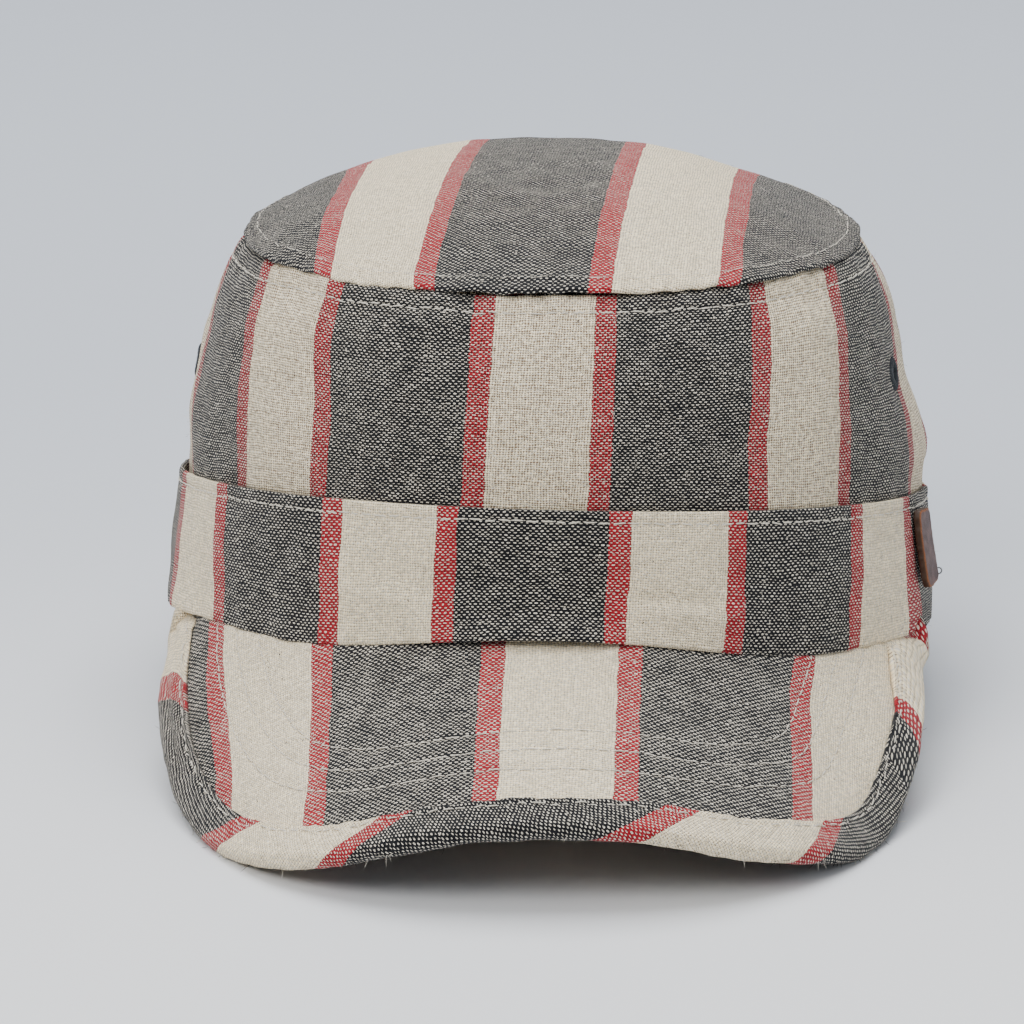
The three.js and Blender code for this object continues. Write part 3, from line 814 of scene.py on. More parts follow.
def band_relief(points, run, up):
    """Unevenness, creases, puckers along both edges, the grooves of the stitches and of the back seam,
    and the lip of the hem, which stands out by LIP (1 - up / LIP_UP) exp(-((run - LIP_AT) /
    LIP_WIDE)^4) below a sharp crease."""
    below = (1 - up) * BAND_HEIGHT
    lip = LIP * np.clip(1 - up / LIP_UP, 0, 1.1) * np.exp(-(((run - LIP_AT) / LIP_WIDE) ** 4))
    return (unevenness(points, BAND_WAVES) + bumps(BAND_CREASES, run, up) + lip
            + puckers(run + 2, below, pitch=9, height=0.12, reach=4)
            + puckers(run, up * BAND_HEIGHT, pitch=10, height=0.2, reach=5)
            + groove(below - BAND_STITCH, depth=0.22, width=0.6)
            + groove(from_back_seam(run), depth=0.7, width=0.7))


def smooth_step(share):
    """3 s^2 - 2 s^3, where s is the share kept between 0 and 1."""
    kept = np.clip(share, 0, 1)
    return kept**2 * (3 - 2 * kept)


def band_lay(run, up):
    """Across the cloth: repeats t from the cream stripe left of the wearer's nose, which leans by
    BAND_STRIPE_LEAN from hem to upper edge, as t + BAND_CLOSER t^2, less the fan."""
    turns = (run - bumps(BAND_PULLS, run, up) - BAND_STRIPE - BAND_STRIPE_LEAN * up) / BAND_REPEAT
    fanned = FAN * (1 - up) * smooth_step((run - FAN_FROM) / FAN_OVER)
    return REPEAT * (turns + BAND_CLOSER * turns**2) - fanned


band_stitch_up = 1 - BAND_STITCH / BAND_HEIGHT
band_rows = np.unique(np.concatenate([
    np.linspace(0.02, 0.98, 56), band_stitch_up + np.linspace(-0.04, 0.04, 9)]))
band = closed_strip("band_cloth", band_face, band_rows, CLOTH, BAND_HEIGHT, band_relief, band_lay, DOUBLE)
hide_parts("band")
ring_row("stitches_on_band", band_face, band_relief, band_stitch_up, 13)


# The peak
# A curved board covered in the cotton above and below, sewn in behind the band's lower edge. Three
# rows of stitches follow its outline and hold the cover to the board.
PEAK_HALF_WIDTH, PEAK_REACH, PEAK_BACK, PEAK_SQUARENESS = 87.1, 150.6, 20, 2.73
PEAK_SHIFT, PEAK_TURN, PEAK_BOARD = -2.7, 0.5, 2.0
ROOT_SPREAD, ROOT_ENDS, ROOT_EASE, ROOT_INSET = 60.4, 17.6, 5, 0.6
ROOT_DROP, ROOT_DROP_AT_ENDS = 1.3, 0.7
ROOT_TUCK, ROOT_TUCK_INSET = 6, 1.9   # how far the cover runs up behind the band, and how far inside
PEAK_LEFT, PEAK_RIGHT, PEAK_PAST = -0.955, 0.94, 0.03
PEAK_SLIP = [(-0.985, 6.2), (-0.98, 4.8), (-0.975, 3.4), (-0.97, 2.6), (-0.955, 1.8), (-0.94, 1.9),
             (-0.92, 1.7), (-0.9, 0.9), (-0.87, 0), (0.75, 0), (0.8, -0.4), (0.87, -0.85), (0.9, -1.0),
             (0.92, -0.8), (0.94, 0.9), (0.95, 0.7), (0.957, -1.0), (0.963, -3.4), (0.97, -6)]
PEAK_RIM = [(-90, 23.0), (-70, 5.5), (-50, -0.5), (-28, 4.6), (0, 15.3), (28, 5.8), (50, -0.5),
            (70, 10.5), (90, 18.0)]
BINDING_CLOTH, BINDING_ROLL = 1.0, 0.6
BINDING_RADIUS = PEAK_BOARD / 2 + GAP + BINDING_CLOTH
PEAK_ROWS = [17.2, 23.2, 29.0]        # over the cloth from the rim in to each row of stitches
PEAK_FREE = (-0.93, 0.89)             # the last rulings before the ends slip
ROW_ENDS = (-0.93, 0.92)              # where the rows of stitches end
PEAK_WAVES = [(26, 0.16, 7), (9, 0.07, 8)]
PEAK_LENGTH = 59                      # mean length from root to rim
PEAK_STRIPE, PEAK_STRIPE_LEAN, PEAK_LEAN_TO = 4.6, 0.035, 60
PEAK_REPEAT, PEAK_CLOSER, PEAK_CLOSER_FROM = 67.8, 0.0004, 30
PEAK_PULLS = [
    (-78, 16, 28, 30, 4.9),
    (62, 20, 38, 20, 1.5),
    (62, 20, 5, 20, 1.2),
]


def slipped(side):
    """The side kept between the peak's ends, and how far the peak slips there: sideways by the table
    PEAK_SLIP, and beyond its ends back by 3 past and up by 8.5 past, where past is 0 to 1."""
    past = np.clip(np.maximum(PEAK_LEFT - side, side - PEAK_RIGHT) / PEAK_PAST, 0, 1)
    sideways = np.interp(side, *np.array(PEAK_SLIP).T)
    return np.clip(side, PEAK_LEFT, PEAK_RIGHT), np.stack([sideways, 3 * past, 8.5 * past], -1)


def peak_root(side, behind=0.0):
    """The sewing line for side -1 (left) to 1 (right): on the band's foot at ROOT_SPREAD side +
    ROOT_ENDS side |side|^ROOT_EASE degrees, a little below the hem. behind is how far the cover has
    run up behind the band, where it lies ROOT_TUCK_INSET (1 - exp(-behind)) farther in."""
    side, way = slipped(side)
    angle = ROOT_SPREAD * side + ROOT_ENDS * side * np.abs(side) ** ROOT_EASE
    drop = ROOT_DROP + (ROOT_DROP_AT_ENDS - ROOT_DROP) * side**2
    x, y = band_oval(angle, 0 * angle, ROOT_INSET + ROOT_TUCK_INSET * (1 - np.exp(-behind)))
    return leaned(x, y, through(BAND_HEM, angle) - drop + behind) + way


def peak_nose(side):
    """The middle of the rim: a rounded oval turned by PEAK_TURN about the upright axis, at the rim's
    height from its table."""
    side, way = slipped(side)
    inset = BINDING_RADIUS * BINDING_ROLL
    x, y = on_oval(90 * side, PEAK_HALF_WIDTH - inset, PEAK_REACH - PEAK_BACK - inset, PEAK_SQUARENESS)
    y = y - PEAK_BACK
    sine, cosine = np.sin(np.radians(PEAK_TURN)), np.cos(np.radians(PEAK_TURN))
    height = through(PEAK_RIM, 90 * side) + BINDING_RADIUS
    across, away = x * cosine - y * sine + PEAK_SHIFT, x * sine + y * cosine
    return np.stack([across + HEAD_X, away + HEAD_Y, height], -1) + way


def ruling_length(side):
    """Straight from the root to the rim."""
    return np.linalg.norm(peak_nose(side) - peak_root(side), axis=-1)


def peak_middle(side, out):
    """Straight from the root (out 0) to the rim (out 1), and for out below 0 up behind the band."""
    root = peak_root(side, np.maximum(0, -out * ruling_length(side)))
    return root + (peak_nose(side) - root) * np.maximum(0, out)[..., None]


def peak_up(side, out):
    """Unit normals of the peak, pointing up, which stay the same beyond the last free rulings."""
    return -outwards(peak_middle, np.clip(side, *PEAK_FREE), out, (0.01, 0.01))


def angle_between(corner, first, second):
    """The angle at a corner between the ways to two points: arctan2 of the ways' cross and dot."""
    one, other = first - corner, second - corner
    return np.arctan2(np.linalg.norm(np.cross(one, other), axis=-1), (one * other).sum(-1))


def flat_pattern(root, rim):
    """The cover rolled out flat. Between two rulings it is two flat triangles, so from one ruling to
    the next its direction turns by the angle at the rim less the angle at the root, and the rim
    leaves the ruling at the sum of both triangles' angles there. The middle ruling is laid along y,
    with its rim at the origin. Gives the flat root and the flat rim."""
    at_rim = angle_between(rim[:-1], root[:-1], root[1:])
    at_root = angle_between(root[1:], rim[:-1], rim[1:])
    beside = angle_between(rim[:-1], root[1:], rim[1:])
    ruling = np.append(0, np.cumsum(at_root - at_rim))
    ruling += np.pi / 2 - ruling[len(ruling) // 2]
    step = np.linalg.norm(np.diff(rim, axis=0), axis=-1)
    along = ruling[:-1] - at_rim - beside
    flat_rim = np.append([[0, 0]], np.cumsum(
        np.stack([step * np.cos(along), step * np.sin(along)], -1), axis=0), axis=0)
    flat_rim -= flat_rim[len(flat_rim) // 2]
    length = np.linalg.norm(rim - root, axis=-1)[:, None]
    return flat_rim + length * np.stack([np.cos(ruling), np.sin(ruling)], -1), flat_rim


PEAK_SIDES = np.linspace(PEAK_LEFT, PEAK_RIGHT, 361)
FLAT_ROOT, FLAT_RIM = flat_pattern(peak_root(PEAK_SIDES), peak_nose(PEAK_SIDES))


def on_pattern(side, out):
    """The place of a point of the peak in the flat pattern."""
    root, rim = at_places(side, PEAK_SIDES, FLAT_ROOT), at_places(side, PEAK_SIDES, FLAT_RIM)
    return root + (rim - root) * out[..., None]


def from_rim(side, out):
    """The shortest way over the cloth to the rim."""
    away = on_pattern(side, out)[..., None, :] - FLAT_RIM[::2]
    return np.sqrt((away**2).sum(-1).min(-1))


INWARD_STEPS = np.linspace(1, -1.5, 126)
STEP_FROM_RIM = from_rim(*np.meshgrid(PEAK_SIDES, INWARD_STEPS))


def out_at(side, distance):
    """Where the cloth is a distance from the rim, as a share of the way out: between the last step in
    from the rim that is nearer and the first that is farther, by proportion."""
    farther = np.clip((STEP_FROM_RIM < distance).sum(0), 1, len(INWARD_STEPS) - 1)[None]
    near = np.take_along_axis(STEP_FROM_RIM, farther - 1, 0)[0]
    far = np.take_along_axis(STEP_FROM_RIM, farther, 0)[0]
    part = np.clip((distance - near) / np.maximum(far - near, 1e-6), 0, 1)
    found = INWARD_STEPS[farther[0] - 1] * (1 - part) + INWARD_STEPS[farther[0]] * part
    return np.interp(side, PEAK_SIDES, found)


def peak_relief(points, side, out):
    """Unevenness of the cover, and a groove along each row of stitches."""
    inwards = from_rim(side, out)
    rows = sum(groove(inwards - row, depth=0.16, width=0.7) for row in PEAK_ROWS)
    return unevenness(points, PEAK_WAVES) + rows


# Little painted gap shade here, which keeps the backed peak lighter, standing in for the light that falls
# on it from above.
BACKED = cotton("backed striped cotton", 0.3, 1.05)


def past_ends(sides):
    """The sides and eight more past each end of the peak."""
    past = np.linspace(0, PEAK_PAST, 9)[1:]
    return np.concatenate([PEAK_LEFT - past[::-1], sides, PEAK_RIGHT + past])


def sewn_shut(name, points, ends, cloth, material):
    """A skin from side to side whose two open ends are closed with the points given for them."""
    shut = np.concatenate([ends[0], points[:-1], ends[1]], 1)
    laid = np.concatenate([cloth[:, :1], cloth, cloth[:, -1:]], 1)
    return sewn(name, shut, laid, material, round_head=False)


def peak_cover():
    """The cover as a closed skin round the board: from behind the band out over the upper face, round
    the rim and back below. Both ends close on the middle surface. Across the cloth is the flat
    pattern's x in repeats from PEAK_STRIPE at the rim, which leans by PEAK_STRIPE_LEAN y; the stripes
    come nearer by PEAK_CLOSER (y - PEAK_CLOSER_FROM)."""
    rows = np.concatenate([np.linspace(-1, 0, 9)[:-1], np.linspace(0, 0.99, 110)])
    radius = PEAK_BOARD / 2
    up, depth = strip_section(rows, PEAK_BOARD, PEAK_LENGTH)
    up, depth = np.append(up, up[0]), np.append(depth, depth[0])
    across, along = np.meshgrid(past_ends(PEAK_SIDES), up)
    along = np.where(along < 0, along * ROOT_TUCK / ruling_length(across), along)
    plain, normal = peak_middle(across, along), peak_up(across, along)
    upper = (depth < radius)[:, None] * peak_relief(plain, across, along)
    moved = plain + normal * (upper + radius - depth[:, None])[..., None]
    x, y = np.moveaxis(on_pattern(across, along), -1, 0)
    stripe = PEAK_STRIPE - PEAK_STRIPE_LEAN * np.clip(y, 0, PEAK_LEAN_TO)
    repeats = (x - bumps(PEAK_PULLS, x, y) - stripe) / PEAK_REPEAT
    cloth = np.stack([repeats * REPEAT * (1 - PEAK_CLOSER * (y - PEAK_CLOSER_FROM)), y], -1)
    return sewn_shut("peak_cover", moved, (plain[:-1, :1], plain[:-1, -1:]), cloth, BACKED)


peak = peak_cover()
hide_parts("peak")


# Painted shade: the dark inside each needle hole, as small cones sunk into the cloth
HOLE_SHADE = new_material("needle hole shade", Base_Color=srgb(84, 70, 60), Roughness=0.9)
HOLE_HEIGHT, HOLE_RADIUS = np.array([-0.2, 0.0, 0.03, 0.03]), np.array([0, 0.15, 0.13, 0])
CORNER_STEPS = 30                     # to each side that a row's curve is averaged over
ROW_UNDER_BAND, PEAK_THREAD = 1.5, 0.3   # how far a row runs up behind the band, and its thread


def peak_row(name, distance, seed):
    """A row of stitches at one distance from the rim, as far as it shows below the band. It takes the
    corners in a curve: a running mean over CORNER_STEPS each way. Where the needle went in, a small
    dark cone in the cloth is painted shade for the inside of the hole."""
    side = np.linspace(*ROW_ENDS, 1100)
    window = np.ones(2 * CORNER_STEPS + 1)
    out = np.convolve(np.pad(out_at(side, distance), CORNER_STEPS, "edge"), window / len(window), "valid")
    seen = out * ruling_length(side) > -ROW_UNDER_BAND
    side, out = side[seen], out[seen]
    plain, normal = peak_middle(side, out), peak_up(side, out)
    line = plain + normal * (PEAK_BOARD / 2 + peak_relief(plain, side, out))[..., None]
    row = stitches(name, line, normal, seed, thick=PEAK_THREAD)
    run = run_length(line, 0)
    at = needle_holes(run[-1], np.random.default_rng(seed))
    middle, up = at_places(at, run, line), at_places(at, run, normal)
    side = np.cross(up, [0, 1, 0])
    stations = middle[:, None] + HOLE_HEIGHT[:, None] * up[:, None]
    rings = HOLE_RADIUS[:, None, None] * ring(6, side, np.cross(up, side))[:, None]
    holes = tubes(f"{name}_holes", stations[:, :, None] + rings,
                  np.broadcast_to(HOLE_HEIGHT, (len(at), 4)), HOLE_SHADE)


for number, distance in enumerate(PEAK_ROWS):
    peak_row(f"stitches_on_peak_{number + 1}", distance, 14 + number)


# The binding
# A strip of the same cotton cut on the bias, folded in at both edges and then round the rim of the
# peak. It is sewn through all layers near its inner edge, and widens towards both ends.
BINDING_ANGLE, BINDING_STITCH = 52.3, 1.4       # of its stripes, and from its inner edge to the seam
BINDING_INNER = np.array([(-0.955, 10.4), (-0.907, 9.3), (-0.865, 9.0), (-0.83, 8.3), (-0.734, 7.0),
                          (0.745, 6.8), (0.773, 8.4), (0.799, 10.2), (0.829, 11.7), (0.94, 13.1)])
BINDING_UNDER_BAND = 1.2
BINDING_FLANGE = 7.0                  # of cloth, from the rim to the inner edge
BINDING_CORNER = 104                  # along the rim from its middle to the corner near the tab
BINDING_WAVES = [(14, 0.16, 9), (5, 0.07, 10)]
RIDGE, RIDGE_PITCH, RIDGE_FROM, RIDGE_OVER = 0.22, 3.4, 0.6, 0.15
BINDING_STRIPE, SWAY, SWAY_LENGTH = 36, 1.9, 115
SKEW_FROM, SKEW_OVER, SKEW_LEFT, SKEW_RIGHT = 0.68, 0.11, 0.5, 1.25
BINDING_SINKS = 3.5                   # from the root, where the upper face goes in under the band


def binding_section():
    """Half circle round the rim and two straight flanges, from the upper inner edge to the lower one.
    Gives for each point its height over the middle surface and its reach past the rim, for radius 1,
    and how much of the flange lies inwards."""
    flat = 1 - np.linspace(0, 1, 16)
    turn = np.radians(np.linspace(90, -90, 25)[1:-1])
    height = np.concatenate([0 * flat + 1, np.sin(turn), 0 * flat - 1])
    reach = np.concatenate([0 * flat, np.cos(turn), 0 * flat])
    flange = np.concatenate([flat, 0 * turn, flat[::-1]])
    return height, reach, flange


def binding_width(side):
    """Over the cloth from the rim to the binding's inner edge, from its table."""
    return np.interp(side, *BINDING_INNER.T)


def binding_inner(side, nearer=0.0):
    """The share out of the binding's inner edge, or of a line nearer the rim."""
    return out_at(side, binding_width(PEAK_SIDES) - nearer)


def ruling_way(side):
    """Unit ways from the root to the rim."""
    return unit(peak_nose(side) - peak_root(side))


def binding_line(side, height, reach, flange, radius):
    """A point of the strip: on the peak's middle surface at the flange's share of the way in, then up
    by radius height and out by radius reach. Near the band the upper face sinks by
    BINDING_UNDER_BAND (1 - s), where s is a smooth step over BINDING_SINKS from the root."""
    out = 1 - flange * (1 - binding_inner(side))
    middle, normal = peak_middle(side, out), peak_up(side, out)
    clear = smooth_step(out * ruling_length(side) / BINDING_SINKS)
    raised = radius * height - BINDING_UNDER_BAND * (1 - clear) * (height > 0)
    return middle + ruling_way(side) * (radius * reach)[..., None] + normal * raised[..., None], normal


def binding_relief(points, run, side, flange):
    """Unevenness, two long ridges on the wearer's right, and puckers and a groove at the stitches."""
    inwards = flange * binding_width(side)
    inner = binding_width(side) - inwards
    ridges = RIDGE * np.sin(2 * np.pi * inwards / RIDGE_PITCH)
    ridges = ridges * np.clip((-side - RIDGE_FROM) / RIDGE_OVER, 0, 1)
    return (unevenness(points, BINDING_WAVES) + ridges
            + puckers(run, inner, pitch=5.5, height=0.16, reach=3.5)
            + groove(inner - BINDING_STITCH, depth=0.22, width=0.5))


def binding_strip():
    """The strip as a closed skin: its outer line from the upper inner edge round the rim to the lower
    one, and back along its inner line. The stripes run at BINDING_ANGLE to it and sway by
    SWAY sin(2 pi rim / SWAY_LENGTH) along it. Over the flange they lie flatter at the end on the
    wearer's right and steeper at the other, by skewed, and past BINDING_CORNER the weft follows the
    rim."""
    sides = past_ends(np.linspace(PEAK_LEFT, PEAK_RIGHT, 521))
    height, reach, flange = binding_section()
    outer = len(height)
    inside = np.linspace(outer - 1, 0, 20).astype(int)
    order = np.concatenate([np.arange(outer), inside, [0]])
    radius = BINDING_RADIUS - BINDING_CLOTH * np.repeat([0, 1, 0], [outer, len(inside), 1])[:, None]
    across, which = np.meshgrid(sides, order)
    rim = np.broadcast_to(run_length(peak_nose(sides), 0), across.shape)
    rim = rim - rim[:, np.argmin(np.abs(sides))][:, None]
    tall, far, part = height[which], reach[which], flange[which]
    points, normal = binding_line(across, tall, far, part, radius)
    outside = (np.arange(len(order)) < outer)[:, None, None]
    push = (normal * tall[..., None] + ruling_way(across) * far[..., None]) * outside
    points = points + push * binding_relief(points, rim, across, part)[..., None]
    inwards = BINDING_RADIUS * np.arctan2(tall, far) + np.sign(tall) * part * BINDING_FLANGE
    turned = np.radians(BINDING_ANGLE)
    left, right = (smooth_step((end - SKEW_FROM) / SKEW_OVER) for end in (-across, across))
    skewed = 1 + part * (SKEW_LEFT * left - SKEW_RIGHT * right)
    unpulled = rim - BINDING_STRIPE - SWAY * np.sin(2 * np.pi * rim / SWAY_LENGTH)
    cloth = np.stack([unpulled * np.cos(turned) - inwards * np.sin(turned) * skewed,
                      np.minimum(rim, BINDING_CORNER) * np.sin(turned) + inwards * np.cos(turned)], -1)
    ends = [np.broadcast_to(points[:-1, i].mean(0), points[:-1, :1].shape) for i in (0, -1)]
    return sewn_shut("binding_strip", points, ends, cloth, DOUBLE)


def binding_row():
    """The stitches through the strip, BINDING_STITCH from its inner edge."""
    side = np.linspace(PEAK_LEFT + 0.01, PEAK_RIGHT - 0.01, 1100)
    flange = (1 - binding_inner(side, BINDING_STITCH)) / (1 - binding_inner(side))
    line, up = binding_line(side, 1 + 0 * side, 0 * side, flange, BINDING_RADIUS)
    line = line + up * binding_relief(line, run_length(peak_nose(side), 0), side, flange)[..., None]
    row = stitches("stitches_on_binding", line, up, 18, wander=0.3, thick=0.32)


binding = binding_strip()
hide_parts("peak_binding")
binding_row()


# The leather tab
# A thick upright piece of brown leather sewn to the band at its upper end, cut out with burnished tan
# edges. Its lower end has curled away from the cloth.
TAB_FROM, TAB_TO, TAB_BOTTOM, TAB_TOP = 67.3, 73.7, 8.3, 25.3
TAB_CURL, TAB_CURL_POWER = 1.4, 1.5
TAB_HALF_WIDTH, TAB_HALF_HEIGHT, TAB_SLANT, TAB_SQUARENESS = 5.1, 8.5, 0.8, 9
TAB_SECTION = np.array([              # inside the outline, above the back, tan edge, cut side
    (0.6, 0, 0, 1), (0.2, 0, 0, 1), (0.03, 0.08, 0, 1), (0, 0.35, 0, 1), (0, 0.8, 0, 1), (0, 1.2, 0.1, 1),
    (0.04, 1.45, 0.8, 0.7), (0.16, 1.62, 1, 0.1), (0.38, 1.7, 0.5, 0), (0.6, 1.7, 0, 0), (0.8, 1.68, 0, 0),
    (1.6, 1.62, 0, 0), (3.0, 1.6, 0, 0)])
LOOP_RADIUS, LOOP_THREAD, LOOP_OUT, LOOP_UP = 0.75, 0.17, 3.1, 0.42


def leather(laid):
    """Brown leather by Object coordinates: pores and creases in the relief, worn patches lighter. The
    tab's own UV map is 1 across on the tan edge of the face and 1 up on the cut sides."""
    on_edge, on_side = laid.parts()[:2]
    place = Wire(laid.new("TexCoord"), "Object")
    grain, worn = place.noise(2600.0, 4.0), place.noise(420.0, 3.0)
    face = blended(worn.eased(0.35, 0.7), srgb(72, 44, 38), srgb(118, 84, 76))
    face = blended(grain * 0.6, face, srgb(40, 24, 20))
    rim = blended(grain, srgb(96, 50, 16), srgb(176, 102, 38))
    side = blended(grain, srgb(26, 16, 8), srgb(74, 46, 22))
    return blended(on_side, blended(on_edge, face, rim), side), grain, 0.12


LEATHER = painted("brown leather", leather, Roughness=0.55)


def tab_face(along, up, inset):
    """The tab between its two sides (along 0 to 1) and its lower and upper edge (up 0 to 1), outside
    the band by inset and by the curl TAB_CURL (1 - up)^TAB_CURL_POWER. The lower edge is cut on a
    slant that drops TAB_SLANT towards the front."""
    angle = TAB_FROM + (TAB_TO - TAB_FROM) * along
    height = TAB_BOTTOM + (TAB_TOP - TAB_BOTTOM) * up - TAB_SLANT * (1 - 2 * along) * (1 - up)
    curled = TAB_CURL * np.clip(1 - up, 0, 1) ** TAB_CURL_POWER
    x, y = band_oval(angle, height, -inset - curled)
    return leaned(x, y, height)


def tab_leather():
    """A slab with a rounded outline |p|^n + |q|^n = 1, n being TAB_SQUARENESS. Rings go from the
    middle of its back over the cut side and the tan edge to the middle of its face, by the rows of
    TAB_SECTION, and the cut wavers by two sines round the outline."""
    turn = np.linspace(0, 2 * np.pi, 241)
    p, q = np.cos(turn), np.sin(turn)
    square = (np.abs(p) ** TAB_SQUARENESS + np.abs(q) ** TAB_SQUARENESS) ** (-1 / TAB_SQUARENESS)
    margin, depth, rim, cut = TAB_SECTION.T[..., None]
    margin = margin + 0.12 * np.sin(5 * turn + 1) * np.sin(13 * turn) + 0.08 * np.sin(29 * turn + 2)
    along = 0.5 + 0.5 * p * square * (1 - margin / TAB_HALF_WIDTH)
    up = 0.5 + 0.5 * q * square * (1 - margin / TAB_HALF_HEIGHT)
    middle = np.full((1, len(turn)), 0.5)
    along, up = (np.concatenate([middle, values, middle]) for values in (along, up))
    depth, rim, cut = (values[[0, *range(len(values)), -1]] for values in (depth, rim, cut))
    points = tab_face(along, up, GAP + depth)
    cloth = np.stack([rim + 0 * along, cut + 0 * along], -1)
    return sewn("leather_tab_body", points[:, :-1], cloth, LEATHER, loop_rows=False)


tab = tab_leather()
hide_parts("leather_tab")


def loose_loop():
    """A loop of grey thread that has come out beside the tab's lower end: a ring of LOOP_RADIUS in the
    plane of the band's normal and the upright, with six points round it."""
    place = (np.array([TAB_TO + 0.3]), np.array([LOOP_UP]))
    middle, out = band_face(*place)[0], outwards(band_face, *place)[0]
    upright = np.array([0, 0, 1.0])
    way = ring(24, out, upright)
    points = (middle + out * LOOP_OUT + LOOP_RADIUS * way[:, None]
              + LOOP_THREAD * ring(6, way, np.cross(out, upright)))
    grey = new_material("grey thread", Base_Color=srgb(120, 122, 124), Roughness=0.9)
    loop = sewn("leather_tab_loop", points, np.zeros((25, 7, 2)), grey)


loose_loop()


# The lint
# Fluff of the worn cotton and fibres picked up from elsewhere, loose on the cloth and standing off it
# along the edges. Some fibres are dark, most are pale.
LINT_LENGTH, LINT_UPWARDS, LINT_BEND = (0.7, 2.4), 0.9, 0.6
LINT_FULL = np.array([0, 1, 1, 0.8, 0.6, 0])   # the thickness along a fibre
DARK_FIBRE = 200.0                    # added to the place along a fibre if it is a dark one


def fluff(laid):
    """Pale or dark fibres: those laid past half of DARK_FIBRE are dark."""
    dark = laid.parts()[0].eased(DARK_FIBRE / 2, DARK_FIBRE / 2 + 1)
    return blended(dark, srgb(226, 219, 206), srgb(46, 38, 36)), None, 0


LINT = painted("lint", fluff, Roughness=0.9)


def lint(name, base, normal, slot, seed, thick=0.06, dark=0.3):
    """A fibre from each point of the base: t goes from 0 to 1 along it, it leaves at a seeded angle
    between the cloth and its normal, and bends by its length times LINT_BEND t^2 to a seeded side."""
    rng = np.random.default_rng(seed)
    count = len(base)
    t = np.linspace(0, 1, 6)[None, :, None]
    length = rng.uniform(*LINT_LENGTH, (count, 1, 1))
    way = unit(rng.normal(size=(count, 1, 3)) + LINT_UPWARDS * normal[:, None])
    bend = unit(rng.normal(size=(count, 1, 3)))
    middle = base[:, None] + length * (way * t + LINT_BEND * bend * t**2)
    forward = np.gradient(middle, axis=1)
    side = np.cross(forward, normal[:, None])
    side /= np.linalg.norm(side, axis=-1, keepdims=True) + 1e-9
    above = np.cross(side, forward)
    above /= np.linalg.norm(above, axis=-1, keepdims=True) + 1e-9
    radius = thick / 2 * LINT_FULL[:, None, None]
    at = t[..., 0] + DARK_FIBRE * (rng.uniform(size=(count, 1)) < dark)
    piece = tubes(name, middle[:, :, None] + radius * ring(3, side, above), at, LINT)


def scattered(face, across, along, count, seed):
    """Seeded points and normals of a face, between two values across and two along."""
    rng = np.random.default_rng(seed)
    places = rng.uniform(*across, count), rng.uniform(*along, count)
    return face(*places), outwards(face, *places)


lint("lint_on_wall", *scattered(wall_face, (-180, 180), (0.02, 0.98), 420, 31), "striped_cotton", 32)
lint("lint_on_top", *scattered(top_face, (-180, 180), (0.5, 0.99), 200, 33), "striped_cotton", 34)
lint("lint_on_band", *scattered(band_face, (-180, 180), (0.02, 0.98), 300, 35), "striped_cotton", 36)
peak_fluff, peak_fluff_up = scattered(peak_middle, ROW_ENDS, (0.05, 0.9), 160, 37)
lint("lint_on_peak", peak_fluff - peak_fluff_up * PEAK_BOARD / 2, -peak_fluff_up, "striped_cotton", 38)
rim_side = np.random.default_rng(39).uniform(-0.95, 0.93, 170)
rim_out = ruling_way(rim_side)
lint("lint_on_binding", peak_nose(rim_side) + rim_out * BINDING_RADIUS, rim_out, "bias_binding", 40,
     0.11, 0.55)


# The table, the light and the camera
# A pale sweep behind and below the cap, large soft lights, and a long lens a metre away.
def sweep_paint():
    """Painted light: the paper is paler in front than behind, by its Object coordinates."""
    material = new_material("pale paper", Roughness=0.8, Specular_IOR_Level=0.2)
    tree = material.node_tree
    place = Wire(tree.nodes.new("ShaderNodeTexCoord"), "Object")
    # Painted light, stronger towards the camera
    nearer = place.parts()[1].eased(0.35, -0.3)
    shown = blended(nearer, srgb(188, 193, 202), srgb(230, 231, 233))
    fill(tree.nodes["Principled BSDF"], {"Base Color": shown})
    return material


def sweep():
    """Floor that curves up into a backdrop: depth along the floor, a quarter circle, then upright."""
    turn = np.linspace(0, np.pi / 2, 24)
    front, start, radius, wall_height, half_width = -1.6, 1.3, 0.9, 2.2, 2.6
    y = np.concatenate([[front], start + radius * np.sin(turn), [start + radius]])
    z = np.concatenate([[0], radius * (1 - np.cos(turn)), [radius + wall_height]])
    vertices = [(x, float(b), float(c)) for b, c in zip(y, z) for x in (-half_width, half_width)]
    faces = [(2 * i, 2 * i + 1, 2 * i + 3, 2 * i + 2) for i in range(len(y) - 1)]
    mesh = bpy.data.meshes.new("sweep")
    mesh.from_pydata(vertices, [], faces)
    mesh.polygons.foreach_set("use_smooth", np.ones(len(mesh.polygons), bool))
    mesh.materials.append(sweep_paint())
    floor = bpy.data.objects.new("sweep", mesh)
    bpy.context.scene.collection.objects.link(floor)


sweep()


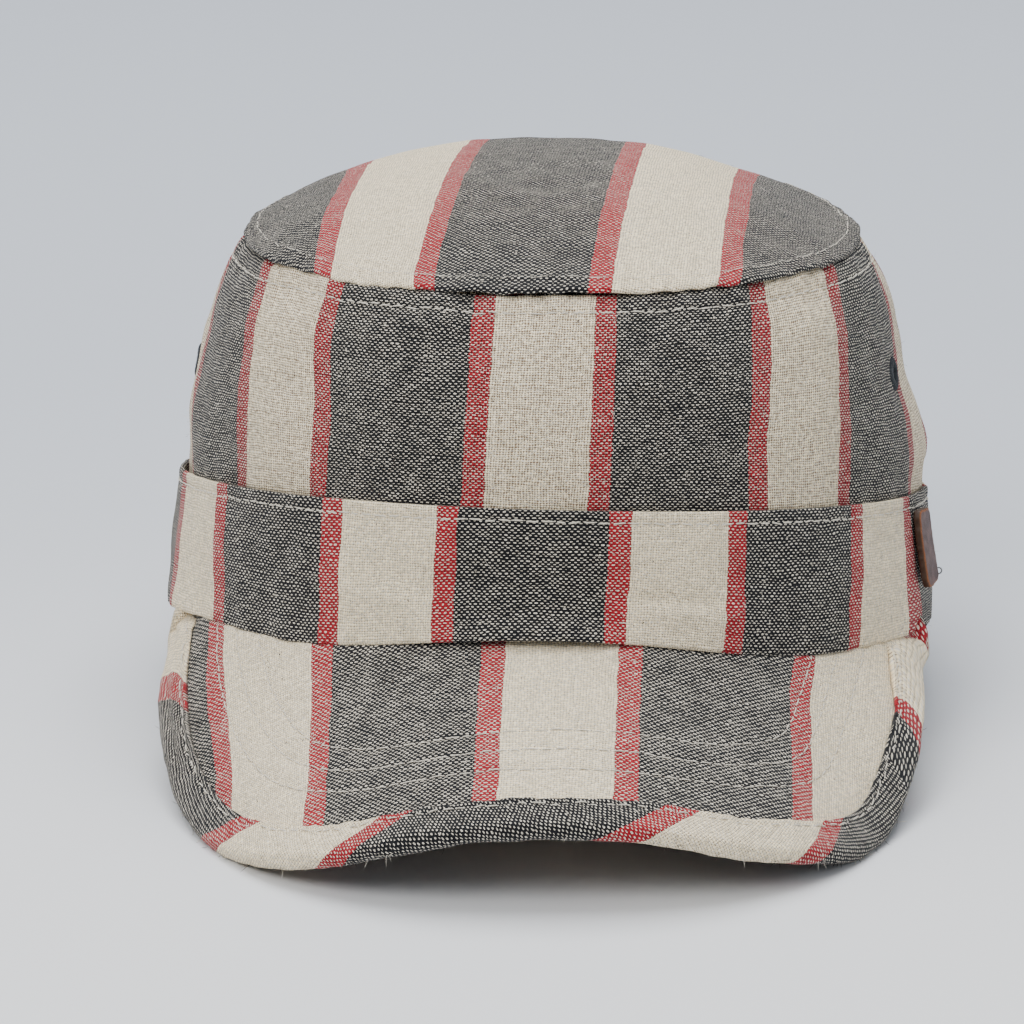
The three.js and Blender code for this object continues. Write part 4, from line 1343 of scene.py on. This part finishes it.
def soft_light(name, place, target, size, power, colour):
    """A square area light at a place, facing a target, metres and watts."""
    data = bpy.data.lights.new(name, "AREA")
    data.shape, data.size, data.energy, data.color = "SQUARE", size, power, colour
    light = bpy.data.objects.new(name, data)
    light.location = place
    light.rotation_euler = (Vector(target) - Vector(place)).to_track_quat("-Z", "Y").to_euler()
    bpy.context.scene.collection.objects.link(light)


soft_light("key", (-1.05, -1.2, 1.65), (0, 0, 0.05), 1.3, 38, (1.0, 0.985, 0.96))
soft_light("fill", (1.5, -1.0, 1.0), (0, 0, 0.05), 1.4, 10, (0.95, 0.975, 1.0))
soft_light("overhead", (-0.05, 0.5, 1.95), (0, 0, 0.0), 1.8, 66, (0.97, 0.985, 1.0))
world = bpy.data.worlds.new("studio")
world.use_nodes = True
world.node_tree.nodes["Background"].inputs["Color"].default_value = srgb(214, 220, 228)
world.node_tree.nodes["Background"].inputs["Strength"].default_value = 0.2
bpy.context.scene.world = world

CAMERA_PLACE = (0.399, -939.5, 330.8)
PITCH, YAW, ROLL, LENS = 16.788, 0.574, -0.109, 149.4


def camera():
    """The camera looks along -Z of its own axes: forward from pitch and yaw, right level, and both
    right and up then turned by the roll."""
    pitch, yaw, roll = np.radians([PITCH, YAW, ROLL])
    forward = np.array([-np.sin(yaw) * np.cos(pitch), np.cos(yaw) * np.cos(pitch), -np.sin(pitch)])
    level = np.array([np.cos(yaw), np.sin(yaw), 0])
    upright = np.cross(level, forward)
    right = level * np.cos(roll) + upright * np.sin(roll)
    up = upright * np.cos(roll) - level * np.sin(roll)
    axes = np.eye(4)
    axes[:3, 0], axes[:3, 1], axes[:3, 2] = right, up, -forward
    axes[:3, 3] = np.array(CAMERA_PLACE) * MM
    data = bpy.data.cameras.new("camera")
    data.lens, data.sensor_width, data.clip_end = LENS, 36, 20
    holder = bpy.data.objects.new("camera", data)
    holder.matrix_world = Matrix(axes.tolist())
    bpy.context.scene.collection.objects.link(holder)
    bpy.context.scene.camera = holder


camera()
